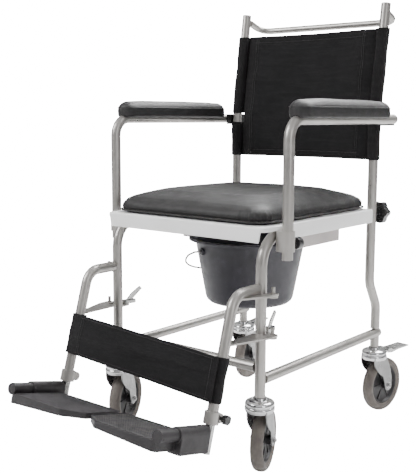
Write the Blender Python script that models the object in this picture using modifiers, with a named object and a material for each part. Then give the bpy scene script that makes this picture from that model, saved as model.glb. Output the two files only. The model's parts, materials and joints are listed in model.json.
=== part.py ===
"""Wheeled commode chair: steel tube frame on four castors, pail on runners, lift-off seat and arms,
sling back with push bar, and two swing-away legrests with flip-up footplates.

Metres, +Z up, the floor at Z = 0. The chair faces -Y, and +X is the sitter's left.
Side +1 is left and side -1 is right.
"""
import math

import bmesh
import bpy
from mathutils import Matrix, Vector

# ---- driving dimensions -------------------------------------------------------------------
GAP = 0.0003                 # clearance between parts that touch
TUBE_R = 0.011               # main frame tube
SPIGOT_R = 0.0092            # tubes that slide inside the main tube
BORE_R = 0.0097              # inside of a main tube that takes another

LEG_X = 0.197                # legs and uprights, either side of the middle
FRONT_Y = -0.200             # front legs
REAR_Y = 0.238               # rear legs above their offset bend, and uprights
REAR_LOW_Y = 0.273           # rear legs below the bend
LEG_FOOT_Z = 0.165           # bottom of the legs, where the castors start
LOWER_RAIL_Z = 0.199
FRONT_CROSS_Z = 0.224
SEAT_RAIL_Z = 0.484
REAR_LEG_TOP_Z = 0.5135

ARM_X = 0.233                # armrest posts and tubes
ARM_Y = -0.165
ARM_Z = 0.708
ARM_END_Y = 0.261

BACK_BEND_Z = 0.7067         # the uprights recline above this height
BACK_TOP_Y = 0.276
BACK_TOP_Z = 0.970

WHEEL_R = 0.0655
TRAIL = 0.034                # castor axle behind its swivel axis

PIVOT_X = 0.225              # legrest pivot pins
PIVOT_Y = -0.199
HANGER_Z = 0.383             # level part of the legrest tube
HANGER_CORNER_Y = -0.2866
HANGER_SLOPE = 0.298         # the legrest tube goes forward by this much per metre of drop
HANGER_END_Z = 0.1535
HANGER_TILT = math.atan(HANGER_SLOPE)

FOOT_AXIS_Z = 0.1405         # footplate pivot tube, at the legrest stem
FOOT_PITCH = math.radians(13.5)

SET_FORWARD = 0.0555          # from the seat's own origin to the middle of the chair's box
PAIL_Y = 0.030
LEDGE_Z = 0.437              # top of the runner ledges that carry the pail
LEDGE_X = 0.128
RUNNER_X = 0.152
RUNNER_START_Y = -0.022
RUNNER_END_Y = 0.162

PLATE_BOTTOM_Z = 0.4955      # underside of the seat plate's top
PLATE_TOP_Z = 0.5035
SKIRT_BOTTOM_Z = 0.473
SKIRT_X = 0.2135
SKIRT_FRONT_Y = -0.216
SKIRT_REAR_Y = 0.2235

SIDES = (("left", 1), ("right", -1))

# ---- scene and materials ------------------------------------------------------------------
for old in list(bpy.data.objects):
    bpy.data.objects.remove(old, do_unlink=True)

PARTS = bpy.data.collections.new("commode_chair")
CUTTERS = bpy.data.collections.new("cutters")
bpy.context.scene.collection.children.link(PARTS)
bpy.context.scene.collection.children.link(CUTTERS)


def material(name, colour, roughness, metallic=0.0):
    mat = bpy.data.materials.new(name)
    mat.use_nodes = True
    shader = mat.node_tree.nodes["Principled BSDF"]
    shader.inputs["Base Color"].default_value = (*colour, 1.0)
    shader.inputs["Roughness"].default_value = roughness
    shader.inputs["Metallic"].default_value = metallic
    return mat


PAINT = material("silver_paint", (0.52, 0.50, 0.48), 0.38, 0.25)
ZINC = material("zinc_plate", (0.62, 0.62, 0.60), 0.28, 0.9)
WHITE = material("white_plastic", (0.86, 0.86, 0.85), 0.35)
VINYL = material("black_vinyl", (0.03, 0.03, 0.032), 0.45)
NYLON = material("black_nylon", (0.02, 0.019, 0.021), 0.85)
BLACK = material("black_plastic", (0.02, 0.02, 0.022), 0.35)
CHARCOAL = material("charcoal_plastic", (0.07, 0.068, 0.074), 0.6)
PAIL_BLUE = material("pail_plastic", (0.07, 0.07, 0.085), 0.4)
RUNNER_GREY = material("runner_plastic", (0.62, 0.57, 0.56), 0.5)
TYRE = material("tyre_rubber", (0.23, 0.21, 0.195), 0.7)


# ---- helpers ------------------------------------------------------------------------------
def place(obj, mat, collection=PARTS):
    obj.data.materials.clear()
    obj.data.materials.append(mat)
    collection.objects.link(obj)
    if collection is CUTTERS:
        obj.hide_render = True
        obj.display_type = "WIRE"
    return obj


def smooth(obj, degrees=35):
    obj.data.shade_smooth()
    obj.data.set_sharp_from_angle(angle=math.radians(degrees))
    return obj


def from_bmesh(name, bm):
    mesh = bpy.data.meshes.new(name)
    bm.to_mesh(mesh)
    bm.free()
    return bpy.data.objects.new(name, mesh)


def cylinder(name, start, end, radius, sides=16, end_radius=None):
    """A round bar or cone between two points."""
    start, end = Vector(start), Vector(end)
    span = end - start
    turn = span.to_track_quat("Z", "Y").to_matrix().to_4x4()
    bm = bmesh.new()
    bmesh.ops.create_cone(bm, cap_ends=True, segments=sides, radius1=radius,
                          radius2=radius if end_radius is None else end_radius,
                          depth=span.length, matrix=Matrix.Translation((start + end) / 2) @ turn)
    return smooth(from_bmesh(name, bm))


def box(name, low, high):
    low, high = Vector(low), Vector(high)
    bm = bmesh.new()
    bmesh.ops.create_cube(bm, size=1.0, matrix=Matrix.Translation((low + high) / 2)
                          @ Matrix.Diagonal((*(high - low), 1.0)))
    return from_bmesh(name, bm)


def side_box(name, side, x_range, y_range, z_range):
    """A box given for the left side, mirrored for side -1."""
    xs = sorted(side * x for x in x_range)
    return box(name, (xs[0], y_range[0], z_range[0]), (xs[1], y_range[1], z_range[1]))


def fillet(corners, radius, steps=5):
    """Round a path's inner corners with arcs of the given radius."""
    pts = [Vector(c) for c in corners]
    path = [pts[0]]
    for before, corner, after in zip(pts, pts[1:], pts[2:]):
        to_before = (before - corner).normalized()
        to_after = (after - corner).normalized()
        half = to_before.angle(to_after) / 2
        reach = radius / math.tan(half)
        centre = corner + (to_before + to_after).normalized() * (radius / math.sin(half))
        first = corner + to_before * reach - centre
        last = corner + to_after * reach - centre
        for i in range(steps + 1):
            path.append(centre + first.normalized().slerp(last.normalized(), i / steps) * radius)
    path.append(pts[-1])
    return path


def tube(name, path, radius, resolution=4):
    """A solid bar of round section along a path, as a mesh with welded caps."""
    curve = bpy.data.curves.new(name, "CURVE")
    curve.dimensions = "3D"
    curve.bevel_depth = radius
    curve.bevel_resolution = resolution
    curve.use_fill_caps = True
    spline = curve.splines.new("POLY")
    spline.points.add(len(path) - 1)
    for point, place_at in zip(spline.points, path):
        point.co = (*place_at, 1.0)
    return curve_to_mesh(name, curve)


def curve_to_mesh(name, curve):
    source = bpy.data.objects.new(name + "_curve", curve)
    bpy.context.scene.collection.objects.link(source)
    bpy.context.view_layer.update()
    graph = bpy.context.evaluated_depsgraph_get()
    mesh = bpy.data.meshes.new_from_object(source.evaluated_get(graph))
    bm = bmesh.new()
    bm.from_mesh(mesh)
    bmesh.ops.remove_doubles(bm, verts=bm.verts, dist=0.00001)
    bmesh.ops.recalc_face_normals(bm, faces=bm.faces)
    bm.to_mesh(mesh)
    bm.free()
    obj = bpy.data.objects.new(name, mesh)
    obj.matrix_world = source.matrix_world
    bpy.data.objects.remove(source, do_unlink=True)
    return smooth(obj)


def prism(name, outline, low, high, turn=None):
    """A flat outline in XY, as a plate between two heights, then turned about the origin."""
    curve = bpy.data.curves.new(name, "CURVE")
    curve.dimensions = "2D"
    curve.fill_mode = "BOTH"
    curve.extrude = (high - low) / 2
    spline = curve.splines.new("POLY")
    spline.use_cyclic_u = True
    spline.points.add(len(outline) - 1)
    for point, (x, y) in zip(spline.points, outline):
        point.co = (x, y, 0.0, 1.0)
    obj = curve_to_mesh(name, curve)
    obj.data.transform(Matrix.Translation((0, 0, (low + high) / 2)))
    if turn is not None:
        obj.data.transform(turn)
    return obj


def rounded(corners, radius, steps=4):
    """A closed outline with the same radius at every corner."""
    count = len(corners)
    outline = []
    for i in range(count):
        trio = [(*corners[(i + k) % count], 0.0) for k in (-1, 0, 1)]
        outline += [(p.x, p.y) for p in fillet(trio, radius, steps)[1:-1]]
    return outline


def rectangle(x0, y0, x1, y1):
    return [(x0, y0), (x1, y0), (x1, y1), (x0, y1)]


def stadium(start, end, radius, steps=6):
    """The outline of a strip with round ends between two points."""
    heading = math.atan2(end[1] - start[1], end[0] - start[0])
    outline = []
    for centre, base in ((end, heading - math.pi / 2), (start, heading + math.pi / 2)):
        for i in range(steps + 1):
            angle = base + math.pi * i / steps
            outline.append((centre[0] + radius * math.cos(angle), centre[1] + radius * math.sin(angle)))
    return outline


def lathe(name, profile, steps=32):
    """A profile of (radius, height) points turned about Z, closed when it starts and ends on Z."""
    bm = bmesh.new()
    verts = [bm.verts.new((r, 0.0, z)) for r, z in profile]
    for a, b in zip(verts, verts[1:]):
        bm.edges.new((a, b))
    if profile[0][0] > 0:
        bm.edges.new((verts[-1], verts[0]))
    obj = from_bmesh(name, bm)
    turn = obj.modifiers.new("turned", "SCREW")
    turn.steps = steps
    turn.render_steps = steps
    turn.use_merge_vertices = True
    turn.merge_threshold = 0.00001
    turn.use_smooth_shade = True
    return obj


def boolean(target, others, operation):
    for other in others:
        if other.name not in CUTTERS.objects:
            place(other, BLACK, CUTTERS)
        mod = target.modifiers.new(operation.lower(), "BOOLEAN")
        mod.operation = operation
        mod.object = other
        mod.solver = "EXACT"
    return target


def join(target, *others):
    return boolean(target, others, "UNION")


def cut(target, *others):
    return boolean(target, others, "DIFFERENCE")


def empty(name, location, rotation=(0.0, 0.0, 0.0)):
    """A parent that carries a moving group, on its joint's axis."""
    obj = bpy.data.objects.new(name, None)
    obj.location = location
    obj.rotation_euler = rotation
    obj.empty_display_size = 0.02
    PARTS.objects.link(obj)
    return obj


def hang(parent, *objs):
    """Parent pieces that are modelled in the parent's own frame."""
    for obj in objs:
        obj.parent = parent
        for mod in obj.modifiers:
            if mod.type == "BOOLEAN" and mod.object.parent is None:
                mod.object.parent = parent


def recentre(obj, origin):
    """Move a piece's origin to a point without moving its surface."""
    shift = Vector(origin) - obj.location
    obj.data.transform(Matrix.Translation(-shift))
    obj.location = origin
    return obj


# ---- frame --------------------------------------------------------------------------------
STEM_R = 0.0058              # castor stem inside a leg
STEM_LENGTH = 0.034
UPPER_LUG_Z = 0.3725         # undersides of the legrest plates rest just above the lugs
LOWER_LUG_Z = 0.2915
LUG_T = 0.004
LUG_R = 0.009
PIN_R = 0.0036
LATCH_Y = -0.1765


def lug(side, top, reach_back):
    """A lug outboard of the front leg with the legrest's pivot pin standing on it."""
    leg = (side * LEG_X, FRONT_Y)
    pin = (side * PIVOT_X, PIVOT_Y)
    pieces = [
        prism(f"lug_{side}_{top}", stadium(leg, pin, LUG_R), top - LUG_T, top),
        cylinder(f"lug_pin_{side}_{top}", (*pin, top - LUG_T / 2), (*pin, top + 0.0165), PIN_R, 12),
    ]
    if reach_back:
        latch = (side * LEG_X, LATCH_Y)
        pieces.append(prism(f"latch_tab_{side}", stadium(leg, latch, LUG_R), top - LUG_T, top))
        pieces.append(cylinder(f"latch_pin_{side}", (*latch, top - LUG_T / 2),
                               (*latch, top + 0.009), PIN_R, 12))
    return pieces


def stem_socket(name, x, y):
    return cylinder(name, (x, y, LEG_FOOT_Z - 0.01), (x, y, LEG_FOOT_Z + STEM_LENGTH + 0.002),
                    STEM_R + 0.0005, 16)


def frame():
    for label, side in SIDES:
        x = side * LEG_X
        corners = [(x, FRONT_Y, LEG_FOOT_Z), (x, FRONT_Y, SEAT_RAIL_Z),
                   (x, REAR_Y - TUBE_R - GAP, SEAT_RAIL_Z)]
        body = tube(f"side_frame_{label}", fillet(corners, 0.058, 6), TUBE_R)
        join(body, *lug(side, UPPER_LUG_Z, False), *lug(side, LOWER_LUG_Z, True))
        cut(body, stem_socket(f"front_socket_{label}", x, FRONT_Y))
        place(body, PAINT)

        corners = [(x, REAR_Y, REAR_LEG_TOP_Z), (x, REAR_Y, 0.326), (x, REAR_LOW_Y, 0.268),
                   (x, REAR_LOW_Y, LOWER_RAIL_Z + TUBE_R + GAP)]
        leg = tube(f"rear_leg_{label}", fillet(corners, 0.045, 4), TUBE_R)
        cut(leg, cylinder(f"leg_bore_{label}", (x, REAR_Y, REAR_LEG_TOP_Z - 0.064),
                          (x, REAR_Y, REAR_LEG_TOP_Z + 0.01), BORE_R, 16))
        place(leg, PAINT)

        rail = tube(f"lower_rail_{label}", [(x, FRONT_Y + TUBE_R + GAP, LOWER_RAIL_Z),
                                            (x, REAR_LOW_Y + 0.014, LOWER_RAIL_Z)], TUBE_R)
        join(rail, cylinder(f"rear_stem_tube_{label}", (x, REAR_LOW_Y, LEG_FOOT_Z),
                            (x, REAR_LOW_Y, LOWER_RAIL_Z), TUBE_R - 0.0003, 12))
        cut(rail, cylinder(f"rear_socket_{label}", (x, REAR_LOW_Y, LEG_FOOT_Z - 0.01),
                           (x, REAR_LOW_Y, LOWER_RAIL_Z + 0.004), STEM_R + 0.0005, 16))
        place(rail, PAINT)

    inner = LEG_X - TUBE_R - GAP
    cross = tube("front_cross_tube", [(-inner, FRONT_Y, FRONT_CROSS_Z),
                                      (inner, FRONT_Y, FRONT_CROSS_Z)], 0.0105)
    place(cross, PAINT)
    rear = tube("rear_cross_tube", [(-inner, 0.200, SEAT_RAIL_Z), (inner, 0.200, SEAT_RAIL_Z)], 0.0095, 2)
    place(rear, PAINT)


# ---- armrests -----------------------------------------------------------------------------
SOCKET_LOW_Z = 0.4545
SOCKET_HIGH_Z = 0.4948
ARM_POST_BOTTOM_Z = 0.438
ARM_KNOB_Z = 0.468


def arm_sockets():
    for label, side in SIDES:
        inboard = (side * (LEG_X + TUBE_R + GAP + 0.0135), ARM_Y)
        outboard = (side * (ARM_X + 0.001), ARM_Y)
        socket = prism(f"arm_socket_{label}", stadium(inboard, outboard, 0.0135),
                       SOCKET_LOW_Z, SOCKET_HIGH_Z)
        cut(socket, cylinder(f"arm_socket_bore_{label}", (side * ARM_X, ARM_Y, SOCKET_LOW_Z - 0.01),
                             (side * ARM_X, ARM_Y, SOCKET_HIGH_Z + 0.01), TUBE_R + 0.0006, 20))
        place(socket, PAINT)


def arm_knobs():
    for label, side in SIDES:
        axis = (side * ARM_X, ARM_Y + 0.0135 + GAP, ARM_KNOB_Z)
        knob = cylinder(f"arm_knob_{label}", (axis[0], axis[1] + 0.012, axis[2]),
                        (axis[0], axis[1] + 0.026, axis[2]), 0.012, 16)
        join(knob, cylinder(f"arm_knob_stem_{label}", axis, (axis[0], axis[1] + 0.015, axis[2]), 0.0032, 10))
        place(recentre(knob, axis), BLACK)


def armrests():
    for label, side in SIDES:
        x = side * ARM_X
        corners = [(x, ARM_Y, ARM_POST_BOTTOM_Z), (x, ARM_Y, ARM_Z), (x, ARM_END_Y, ARM_Z)]
        arm = tube(f"armrest_tube_{label}", fillet(corners, 0.038, 5), TUBE_R)
        place(recentre(arm, (x, ARM_Y, ARM_POST_BOTTOM_Z)), PAINT)

        half = 0.025
        outline = rounded(rectangle(-half, -0.148, half, 0.214), 0.014, 3)
        pad = prism(f"arm_pad_{label}", outline, 0.0, 0.041)
        soften = pad.modifiers.new("soft_edge", "BEVEL")
        soften.width = 0.007
        soften.segments = 2
        soften.limit_method = "ANGLE"
        soften.angle_limit = math.radians(50)
        pad.location = (x, 0.0, ARM_Z + 0.002)
        cut(pad, cylinder(f"pad_groove_{label}", (x, -0.2, ARM_Z), (x, 0.3, ARM_Z), TUBE_R + 0.0004, 16))
        place(pad, VINYL)


# ---- backrest -----------------------------------------------------------------------------
SLING_LOW_Z = 0.614
SLING_HIGH_Z = 0.913
NOTCH_LOW_Z = 0.684
NOTCH_HIGH_Z = 0.724
SLING_SAG = 0.028
SLING_T = 0.003


def upright_y(z):
    """Depth of the uprights' centre line at a height."""
    lean = (BACK_TOP_Y - REAR_Y) / (BACK_TOP_Z - BACK_BEND_Z)
    return REAR_Y + max(0.0, z - BACK_BEND_Z) * lean


def uprights():
    for label, side in SIDES:
        x = side * LEG_X
        corners = [(x, REAR_Y, REAR_LEG_TOP_Z + GAP), (x, REAR_Y, BACK_BEND_Z),
                   (x, BACK_TOP_Y, BACK_TOP_Z)]
        upright = tube(f"back_upright_{label}", fillet(corners, 0.09, 3), TUBE_R)
        join(upright, cylinder(f"spigot_{label}", (x, REAR_Y, REAR_LEG_TOP_Z - 0.058),
                               (x, REAR_Y, REAR_LEG_TOP_Z + 0.01), SPIGOT_R, 12))
        place(recentre(upright, (x, REAR_Y, REAR_LEG_TOP_Z)), PAINT)


def push_bar():
    start_z = 0.951
    start_y = upright_y(start_z) + TUBE_R + 0.0022
    x = LEG_X - 0.004
    corners = [(-x, start_y, start_z), (-x, 0.336, 0.934), (x, 0.336, 0.934), (x, start_y, start_z)]
    place(tube("push_bar", fillet(corners, 0.028, 4), 0.008), PAINT)


def sling():
    """Nylon back: a sagging sheet joined to a sleeve round each upright, notched for the armrests."""
    columns = [i / 8 * 2 - 1 for i in range(9)]
    rows = [SLING_LOW_Z, 0.66, BACK_BEND_Z, 0.775, 0.845, SLING_HIGH_Z]
    bm = bmesh.new()
    grid = []
    for z in rows:
        line = []
        for u in columns:
            y = upright_y(z) - 0.0125 + SLING_SAG * (1 - u * u)
            line.append(bm.verts.new((u * (LEG_X - 0.004), y, z)))
        grid.append(line)
    for low, high in zip(grid, grid[1:]):
        for i in range(len(columns) - 1):
            bm.faces.new((low[i], low[i + 1], high[i + 1], high[i]))
    sheet = from_bmesh("back_upholstery", bm)
    thick = sheet.modifiers.new("thickness", "SOLIDIFY")
    thick.thickness = SLING_T
    thick.offset = 0.0
    for label, side in SIDES:
        x = side * LEG_X
        spans = ((SLING_LOW_Z, NOTCH_LOW_Z), (NOTCH_HIGH_Z, SLING_HIGH_Z))
        sleeves = [cylinder(f"sleeve_{label}_{i}", (x, upright_y(a), a), (x, upright_y(b), b), 0.0145, 16)
                   for i, (a, b) in enumerate(spans)]
        bores = [cylinder(f"sleeve_bore_{label}_{i}", (x, upright_y(a - 0.02), a - 0.02),
                          (x, upright_y(b + 0.02) if i else REAR_Y, b + 0.02), TUBE_R + 0.0006, 16)
                 for i, (a, b) in enumerate(spans)]
        window = side_box(f"arm_window_{label}", side, (LEG_X - 0.020, LEG_X + 0.02),
                          (REAR_Y - 0.03, REAR_Y + 0.03), (NOTCH_LOW_Z, NOTCH_HIGH_Z))
        join(sheet, *sleeves)
        cut(sheet, *bores, window)
    place(sheet, NYLON)


def arm_cradles():
    """Black pads screwed to the uprights' outer sides, against which the rear of the armrests lie."""
    for label, side in SIDES:
        inner = LEG_X + TUBE_R + GAP
        outer = ARM_X - TUBE_R - 0.0008
        outline = [(side * inner, ARM_Z - 0.0145), (side * outer, ARM_Z - 0.0145),
                   (side * outer, ARM_Z + 0.0115), (side * inner, ARM_Z + 0.0115)]
        upend = Matrix.Rotation(math.radians(90), 4, "X")
        cradle = prism(f"arm_cradle_{label}", outline, -0.291, -0.224, upend)
        place(cradle, BLACK)


def star(lobes, radius, depth, per_lobe=5):
    """A knob's lobed outline."""
    count = lobes * per_lobe
    outline = []
    for i in range(count):
        angle = 2 * math.pi * i / count
        r = radius - depth * (0.5 - 0.5 * math.cos(lobes * angle))
        outline.append((r * math.cos(angle), r * math.sin(angle)))
    return outline


def back_knobs():
    z = 0.491
    for label, side in SIDES:
        y = REAR_Y + TUBE_R + GAP
        upend = Matrix.Rotation(math.radians(-90), 4, "X")
        knob = prism(f"back_knob_{label}", star(6, 0.0275, 0.005), 0.012, 0.032, upend)
        knob.location = (side * LEG_X, y, z)
        stem = cylinder(f"back_knob_stem_{label}", (side * LEG_X, y, z), (side * LEG_X, y + 0.014, z), 0.0095, 12)
        place(join(knob, stem), BLACK)


# ---- seat ---------------------------------------------------------------------------------
def seat_plate():
    outer = rounded(rectangle(-SKIRT_X, SKIRT_FRONT_Y, SKIRT_X, SKIRT_REAR_Y), 0.015, 3)
    plate = prism("seat_plate", outer, SKIRT_BOTTOM_Z, PLATE_TOP_Z)
    wall = 0.0035
    inner = rounded(rectangle(-SKIRT_X + wall, SKIRT_FRONT_Y + wall, SKIRT_X - wall, SKIRT_REAR_Y - wall),
                    0.0115, 3)
    hollow = prism("plate_hollow", inner, SKIRT_BOTTOM_Z - 0.01, PLATE_BOTTOM_Z)
    opening = prism("plate_opening", rounded(rectangle(-0.105, -0.115, 0.105, 0.150), 0.10, 5),
                    SKIRT_BOTTOM_Z - 0.01, PLATE_TOP_Z + 0.01)
    notches = [side_box(f"plate_notch_{label}", side, (0.2000, 0.23), (SKIRT_FRONT_Y - 0.01, -0.1495),
                        (SKIRT_BOTTOM_Z - 0.01, PLATE_BOTTOM_Z + 0.0002)) for label, side in SIDES]
    rail_relief = box("plate_rear_relief", (-0.2085, SKIRT_REAR_Y - 0.0095, SKIRT_BOTTOM_Z - 0.01),
                      (0.2085, SKIRT_REAR_Y + 0.01, PLATE_BOTTOM_Z))
    place(cut(plate, hollow, opening, *notches, rail_relief), WHITE)


def runners():
    """Channels under the seat plate whose ledges carry the pail's rim."""
    for label, side in SIDES:
        web, top = RUNNER_X, PLATE_BOTTOM_Z - GAP
        outline = [(LEDGE_X, LEDGE_Z - 0.004), (web + 0.0045, LEDGE_Z - 0.004), (web + 0.0045, top - 0.004),
                   (web + 0.020, top - 0.004), (web + 0.020, top), (web, top), (web, LEDGE_Z),
                   (LEDGE_X, LEDGE_Z)]
        upend = Matrix.Rotation(math.radians(90), 4, "X")
        runner = prism(f"pail_runner_{label}", [(side * x, z) for x, z in outline],
                       -RUNNER_END_Y, -RUNNER_START_Y, upend)
        place(runner, RUNNER_GREY)


def cushion():
    low = PLATE_TOP_Z + 0.001
    outline = rounded(rectangle(-0.203, -0.207, 0.203, 0.2215), 0.03, 4)
    pad = prism("seat_cushion", outline, 0.0, 0.043)
    soften = pad.modifiers.new("soft_edge", "BEVEL")
    soften.width = 0.009
    soften.segments = 2
    soften.limit_method = "ANGLE"
    soften.angle_limit = math.radians(50)
    pad.location = (0.0, 0.0, low)
    place(pad, VINYL)


# ---- pail ---------------------------------------------------------------------------------
PAIL_TURN = math.atan2(-0.39, 0.921)     # heading of the ears, clockwise from the front
BAIL_R = 0.150
BAIL_DROOP = math.radians(27)
EAR_Z = -0.022                           # ears below the rim
PAIL_RIM_R = 0.140
PAIL_R = 0.125
PAIL_FLOOR_R = 0.098
PAIL_DEPTH = 0.146


def pail():
    wall = 0.003
    top = 0.0035
    drop = PAIL_DEPTH
    profile = [(0.0, -drop + wall), (PAIL_FLOOR_R - 0.018, -drop + wall), (PAIL_FLOOR_R - 0.007, -drop + 0.008),
               (PAIL_FLOOR_R - 0.001, -drop + 0.019),
               (PAIL_R - wall, 0.0), (PAIL_R - wall, top), (PAIL_RIM_R, top), (PAIL_RIM_R, 0.0),
               (PAIL_R, 0.0), (PAIL_FLOOR_R + 0.002, -drop + 0.018), (PAIL_FLOOR_R - 0.005, -drop + 0.006),
               (PAIL_FLOOR_R - 0.017, -drop), (0.0, -drop)]
    bowl = lathe("pail", profile, 28)
    ear = Vector((math.sin(PAIL_TURN), -math.cos(PAIL_TURN), 0.0))
    lift = Vector((0.0, 0.0, EAR_Z))
    ears = [cylinder(f"pail_ear_{i}", s * 0.1175 * ear + lift, s * 0.131 * ear + lift, 0.0065, 10)
            for i, s in enumerate((1, -1))]
    join(bowl, *ears)
    holder = empty("pail_slide", (0.0, PAIL_Y, LEDGE_Z + GAP))
    hang(holder, place(bowl, PAIL_BLUE))

    out = Vector((-ear.y, ear.x, 0.0)) * -math.cos(BAIL_DROOP)
    if out.x > 0:
        out = -out
    out.z = -math.sin(BAIL_DROOP)
    arc = [BAIL_R * (ear * math.cos(a) + out * math.sin(a))
           for a in (math.pi * i / 20 for i in range(21))]
    path = [0.1314 * ear] + arc + [-0.1314 * ear]
    handle = tube("pail_bail", path, 0.0027, 2)
    handle.location = (0.0, PAIL_Y, LEDGE_Z + GAP + EAR_Z)
    place(handle, ZINC)


# ---- legrests -----------------------------------------------------------------------------
PLATE_T = 0.0035


def hanger_y(z):
    return HANGER_CORNER_Y - HANGER_SLOPE * (HANGER_Z - z)


def along_hanger(z):
    """The frame of a legrest tube at a height: Z runs up the tube."""
    return Matrix.Translation((0.0, hanger_y(z), z)) @ Matrix.Rotation(-HANGER_TILT, 4, "X")


def pivot_plate(name, side, low, front):
    """Plate from the legrest tube round the outside of the leg to the pivot pin."""
    hub = PIVOT_X - LEG_X
    outline = [(-0.007, front), (0.008, front), (hub + 0.010, -0.020)]
    for i in range(7):
        angle = math.pi * i / 6
        outline.append((hub + 0.010 * math.cos(angle), 0.001 + 0.010 * math.sin(angle)))
    outline += [(0.0130 + 0.0040, -0.0138), (-0.007, -0.0138)]
    outline = [(side * (LEG_X + u), FRONT_Y + v) for u, v in outline]
    return prism(name, outline, low, low + PLATE_T)


def hangers():
    for label, side in SIDES:
        x = side * LEG_X
        corners = [(x, FRONT_Y - 0.0128, HANGER_Z), (x, HANGER_CORNER_Y, HANGER_Z),
                   (x, hanger_y(HANGER_END_Z), HANGER_END_Z)]
        body = tube(f"legrest_tube_{label}", fillet(corners, 0.036, 5), TUBE_R)
        upper = pivot_plate(f"pivot_plate_upper_{label}", side, UPPER_LUG_Z + 0.0004, -0.080)
        lower = pivot_plate(f"pivot_plate_lower_{label}", side, LOWER_LUG_Z + 0.0004, -0.112)
        join(body, upper, lower)
        holes = [cylinder(f"pivot_hole_{label}_{i}", (side * PIVOT_X, PIVOT_Y, z - 0.005),
                          (side * PIVOT_X, PIVOT_Y, z + 0.012), PIN_R + 0.0004, 16)
                 for i, z in enumerate((UPPER_LUG_Z, LOWER_LUG_Z))]
        line = along_hanger(HANGER_END_Z)
        bore = cylinder(f"legrest_bore_{label}", line @ Vector((x, 0, -0.02)), line @ Vector((x, 0, 0.118)),
                        BORE_R, 16)
        cut(body, *holes, bore)
        place(recentre(body, (side * PIVOT_X, PIVOT_Y, HANGER_Z)), PAINT)


def latches():
    """Wing levers behind the front legs that lock the legrests."""
    for label, side in SIDES:
        base = LOWER_LUG_Z + 0.0004
        outline = stadium((0.0, 0.0), (-side * 0.004, 0.018), 0.0085)
        body = prism(f"latch_lever_{label}", outline, 0.0, 0.0075)
        wing = prism(f"latch_wing_{label}", [(0.004, 0.004), (0.020, 0.010), (0.044, 0.030), (0.038, 0.036),
                                             (0.016, 0.022), (0.002, 0.0075)], -0.002, 0.002,
                     Matrix.Rotation(side * math.radians(14), 4, "Z") @ Matrix.Rotation(math.radians(90), 4, "Z")
                     @ Matrix.Rotation(math.radians(90), 4, "X"))
        join(body, wing)
        cut(body, cylinder(f"latch_hole_{label}", (0, 0, -0.01), (0, 0, 0.0175), PIN_R + 0.0004, 16))
        body.location = (side * LEG_X, LATCH_Y, base)
        hang_cutters(body)
        place(body, ZINC)


def hang_cutters(obj):
    """Carry a piece's cutters with it, when both are modelled about the piece's origin."""
    for mod in obj.modifiers:
        if mod.type == "BOOLEAN":
            mod.object.parent = obj


COLLAR_Z = 0.1655


def collars():
    """Split clamps at the lower end of the legrest tubes, with ears behind for the knob's bolt."""
    for label, side in SIDES:
        line = along_hanger(COLLAR_Z)
        x = side * LEG_X
        collar = cylinder(f"clamp_collar_{label}", (0, 0, -0.0115), (0, 0, 0.0115), 0.0150, 16)
        ears = prism(f"clamp_ears_{label}", stadium((0.0, 0.010), (0.0, 0.020), 0.0095), -0.0095, 0.0095,
                     Matrix.Rotation(math.radians(90), 4, "Y"))
        ears.data.transform(Matrix.Scale(0.65, 4, (1, 0, 0)))
        join(collar, ears)
        cut(collar, cylinder(f"clamp_bore_{label}", (0, 0, -0.05), (0, 0, 0.05), TUBE_R + 0.0006, 20))
        collar.matrix_world = Matrix.Translation((x, 0, 0)) @ line
        hang_cutters(collar)
        place(collar, PAINT)

        knob = cylinder(f"clamp_knob_{label}", (side * 0.0075, 0, 0), (side * 0.0175, 0, 0), 0.0092, 14)
        join(knob, cylinder(f"clamp_knob_stem_{label}", (0, 0, 0), (side * 0.009, 0, 0), 0.0035, 10))
        knob.location = Matrix.Translation((x, 0, 0)) @ line @ Vector((side * 0.0066, 0.0200, 0.0))
        hang_cutters(knob)
        place(knob, BLACK)


FOOT_ROOT_Y = hanger_y(FOOT_AXIS_Z)
FOOT_TUBE_END = 0.144
SPINDLE_R = 0.0085


def stems():
    for label, side in SIDES:
        x = side * LEG_X
        low = along_hanger(0.102)
        path = [low @ Vector((x, 0, 0)), low @ Vector((x, 0, 0.145))]
        stem = tube(f"footrest_stem_{label}", path, SPIGOT_R)
        ahead = Vector((0.0, -math.cos(FOOT_PITCH), math.sin(FOOT_PITCH)))
        root = Vector((x, FOOT_ROOT_Y, FOOT_AXIS_Z))
        join(stem, cylinder(f"foot_spindle_{label}", root, root + ahead * 0.136, SPINDLE_R, 14))
        place(recentre(stem, path[0]), ZINC)


PLATE_SPAN = 0.191           # footplate, from its pivot to its inner end
PLATE_FRONT = 0.146
PLATE_BACK = 0.022


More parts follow.
